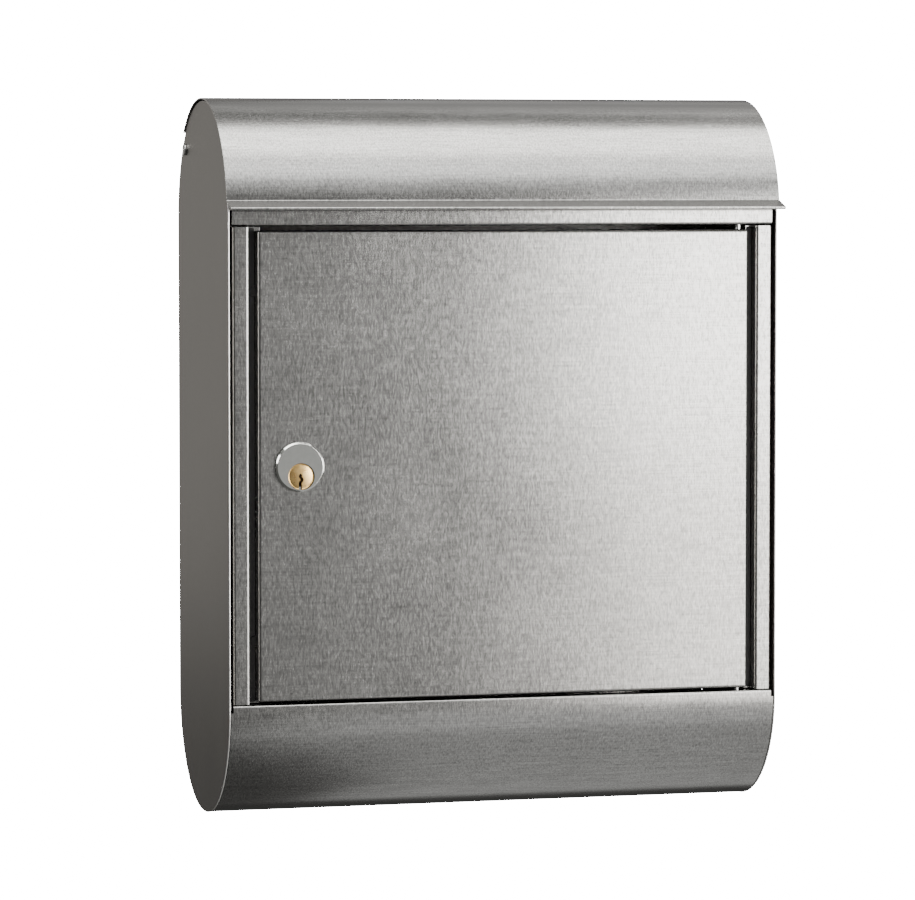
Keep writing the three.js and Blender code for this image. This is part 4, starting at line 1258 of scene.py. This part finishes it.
# %% Build the brass plug with its keyway
PLUG_TAIL = 4.0 * MM
KEY_WIDTH = 1.9 * MM
KEY_DEPTH = 12 * MM
plug_front = plug_low.y
shank_end = lock_high.y - plug_front
plug_length = plug_high.y - plug_front
DOME_RADIUS = 36 * MM
DOME_RIM = 0.8 * MM
DOME_STEPS = 8
dome_edge = plug_radius - DOME_RIM
dome_reach = [dome_edge * i / DOME_STEPS for i in range(DOME_STEPS + 1)]
dome = [(reach, DOME_RADIUS - math.sqrt(DOME_RADIUS ** 2 - reach ** 2)) for reach in dome_reach]
dome_depth = dome[-1][1]
profile = [*dome, (plug_radius - 0.3 * MM, dome_depth + 0.25 * MM), (plug_radius, dome_depth + 0.7 * MM),
           (plug_radius, PLUG_HEAD), (shank_radius, PLUG_HEAD), (shank_radius, shank_end),
           (PLUG_TAIL, shank_end), (PLUG_TAIL, plug_length, 0.3 * MM), (0, plug_length)]
plug = turned_piece("plug_turned", profile, (plug_x, plug_front, plug_z), (0, 1, 0), 96)
key_line = folded_line([
    (plug_x, plug_z + 1.6 * MM), (plug_x - 0.9 * MM, plug_z + 0.2 * MM, 0.4 * MM),
    (plug_x + 0.7 * MM, plug_z - 2.0 * MM, 0.8 * MM), (plug_x - 0.9 * MM, plug_z - 4.2 * MM, 0.8 * MM),
    (plug_x - 0.5 * MM, plug_z - 6.6 * MM, 2.0 * MM), (plug_x - 0.5 * MM, plug_z - plug_radius - MM),
])
keyway = folded_sheet("keyway", key_line, KEY_WIDTH, "Y", plug_front - MM, plug_front + KEY_DEPTH, 0.1 * MM)
cut_away(plug, keyway)
SCREW = 1.8 * MM
SCREW_GRIP = 8 * MM
cut_away(plug, drill(SCREW + DRILL_GAP, (plug_x, plug_high.y - SCREW_GRIP - MM, plug_z),
                     (plug_x, plug_high.y + MM, plug_z)))
settle(plug, "lock_plug", "lock_core", "plug_brass")

# %% [markdown]
# The cam is a flat pressed tongue on the plug's end. It hangs down when the lock is open and reaches behind
# the strike plate when it is locked. It is out of sight while the door is shut, but an open door shows it.

# %% Build the cam
cam_low, cam_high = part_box("lock_cam")
CAM_TIP = 6 * MM
CAM_EDGE = 0.3 * MM
cam_hub = (cam_high.x - cam_low.x) / 2
cam_tip_z = cam_low.z + CAM_TIP


def cam_outline(y, inset):
    """The cam's outline at one place through its thickness."""
    hub = arc_points((plug_x, plug_z), cam_hub - inset, 0, 180, 6)
    end = arc_points((plug_x, cam_tip_z), CAM_TIP - inset, 180, 360, 6)
    return [(x, y, z) for x, z in hub + end]


cam = stacked_loops("lock_cam_pressed", [cam_outline(y, inset)
                                         for y, inset in end_stations(cam_low.y, cam_high.y, CAM_EDGE)])
cut_away(cam, drill(PLUG_TAIL + DRILL_GAP, (plug_x, cam_low.y - MM, plug_z),
                    (plug_x, cam_high.y + MM, plug_z)))
settle(cam, "lock_cam", "lock_core", "plated_steel")

# %% [markdown]
# One screw with a cross slot holds the cam on the plug. The slot is two crossed blocks cut out of the head.

# %% Build the screw that holds the cam
screw_low, screw_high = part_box("cam_screw")
screw_head = (screw_high.x - screw_low.x) / 2
HEAD_HEIGHT = 2.5 * MM
screw_length = screw_high.y - screw_low.y
under_head = screw_length - HEAD_HEIGHT
profile = [(0, 0), (SCREW, 0, 0.3 * MM), (SCREW, under_head), (screw_head, under_head, 0.2 * MM),
           (screw_head, screw_length, 0.9 * MM), (0, screw_length)]
screw = turned_piece("cam_screw_turned", profile, (plug_x, screw_low.y, plug_z), (0, 1, 0))
CROSS_ARM = 2.6 * MM
CROSS_HALF = 0.5 * MM
CROSS_DEPTH = 1.4 * MM
for half_x, half_z in ((CROSS_ARM, CROSS_HALF), (CROSS_HALF, CROSS_ARM)):
    cut_away(screw, block("cross", (plug_x - half_x, screw_high.y - CROSS_DEPTH, plug_z - half_z),
                          (plug_x + half_x, screw_high.y + MM, plug_z + half_z)))
settle(screw, "cam_screw", "lock_core", "plated_steel")

# %% [markdown]
# A six-sided nut clamps the lock's body from behind. The strike plate is a stepped strip on the stile, and
# the cam catches behind its step.

# %% Build the nut and the strike plate
nut_low, nut_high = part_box("lock_nut")
nut_radius = max(nut_high.x - nut_low.x, nut_high.z - nut_low.z) / 2
nut_turn = 30 if (nut_high.z - nut_low.z) > (nut_high.x - nut_low.x) else 0
NUT_EDGE = 0.35 * MM


def nut_outline(y, inset):
    """A six-sided loop at one depth."""
    turns = [math.radians(nut_turn + 60 * i) for i in range(6)]
    reach = nut_radius - inset / math.cos(math.radians(30))
    return [(lock_x + reach * math.cos(t), y, lock_z + reach * math.sin(t)) for t in turns]


nut = stacked_loops("lock_nut_cut", [nut_outline(y, inset)
                                     for y, inset in end_stations(nut_low.y, nut_high.y, NUT_EDGE)])
cut_away(nut, drill(body_radius + DRILL_GAP, (lock_x, nut_low.y - MM, lock_z),
                    (lock_x, nut_high.y + MM, lock_z), 72))
settle(nut, "lock_nut", "door", "plated_steel")

strike_low, strike_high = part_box("strike_plate")
STRIKE_SEAT = 5.2 * MM
STRIKE_FOLD = 1.05 * MM
half = THICK_SHEET / 2
step_x = strike_high.x - STRIKE_SEAT
strike_line = folded_line([
    (strike_high.x, strike_low.y + half), (step_x, strike_low.y + half, STRIKE_FOLD),
    (step_x, strike_high.y - half, STRIKE_FOLD), (strike_low.x, strike_high.y - half),
])
strike = folded_sheet("strike_plate_fold", strike_line, THICK_SHEET, "Z", strike_low.z, strike_high.z)
settle(strike, "strike_plate", "housing", "plated_steel")

# %% [markdown]
# ## Both boxes
# The finer pieces must not make the box bigger than its solids. Both boxes are printed side by side.

# %% Print both boxes side by side
new_low, new_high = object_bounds()
for axis, a, b, c, d in zip("xyz", cad_low, cad_high, new_low, new_high):
    print(f"{axis}: solids {a / MM:.1f} to {b / MM:.1f} mm, pieces {c / MM:.1f} to {d / MM:.1f} mm")
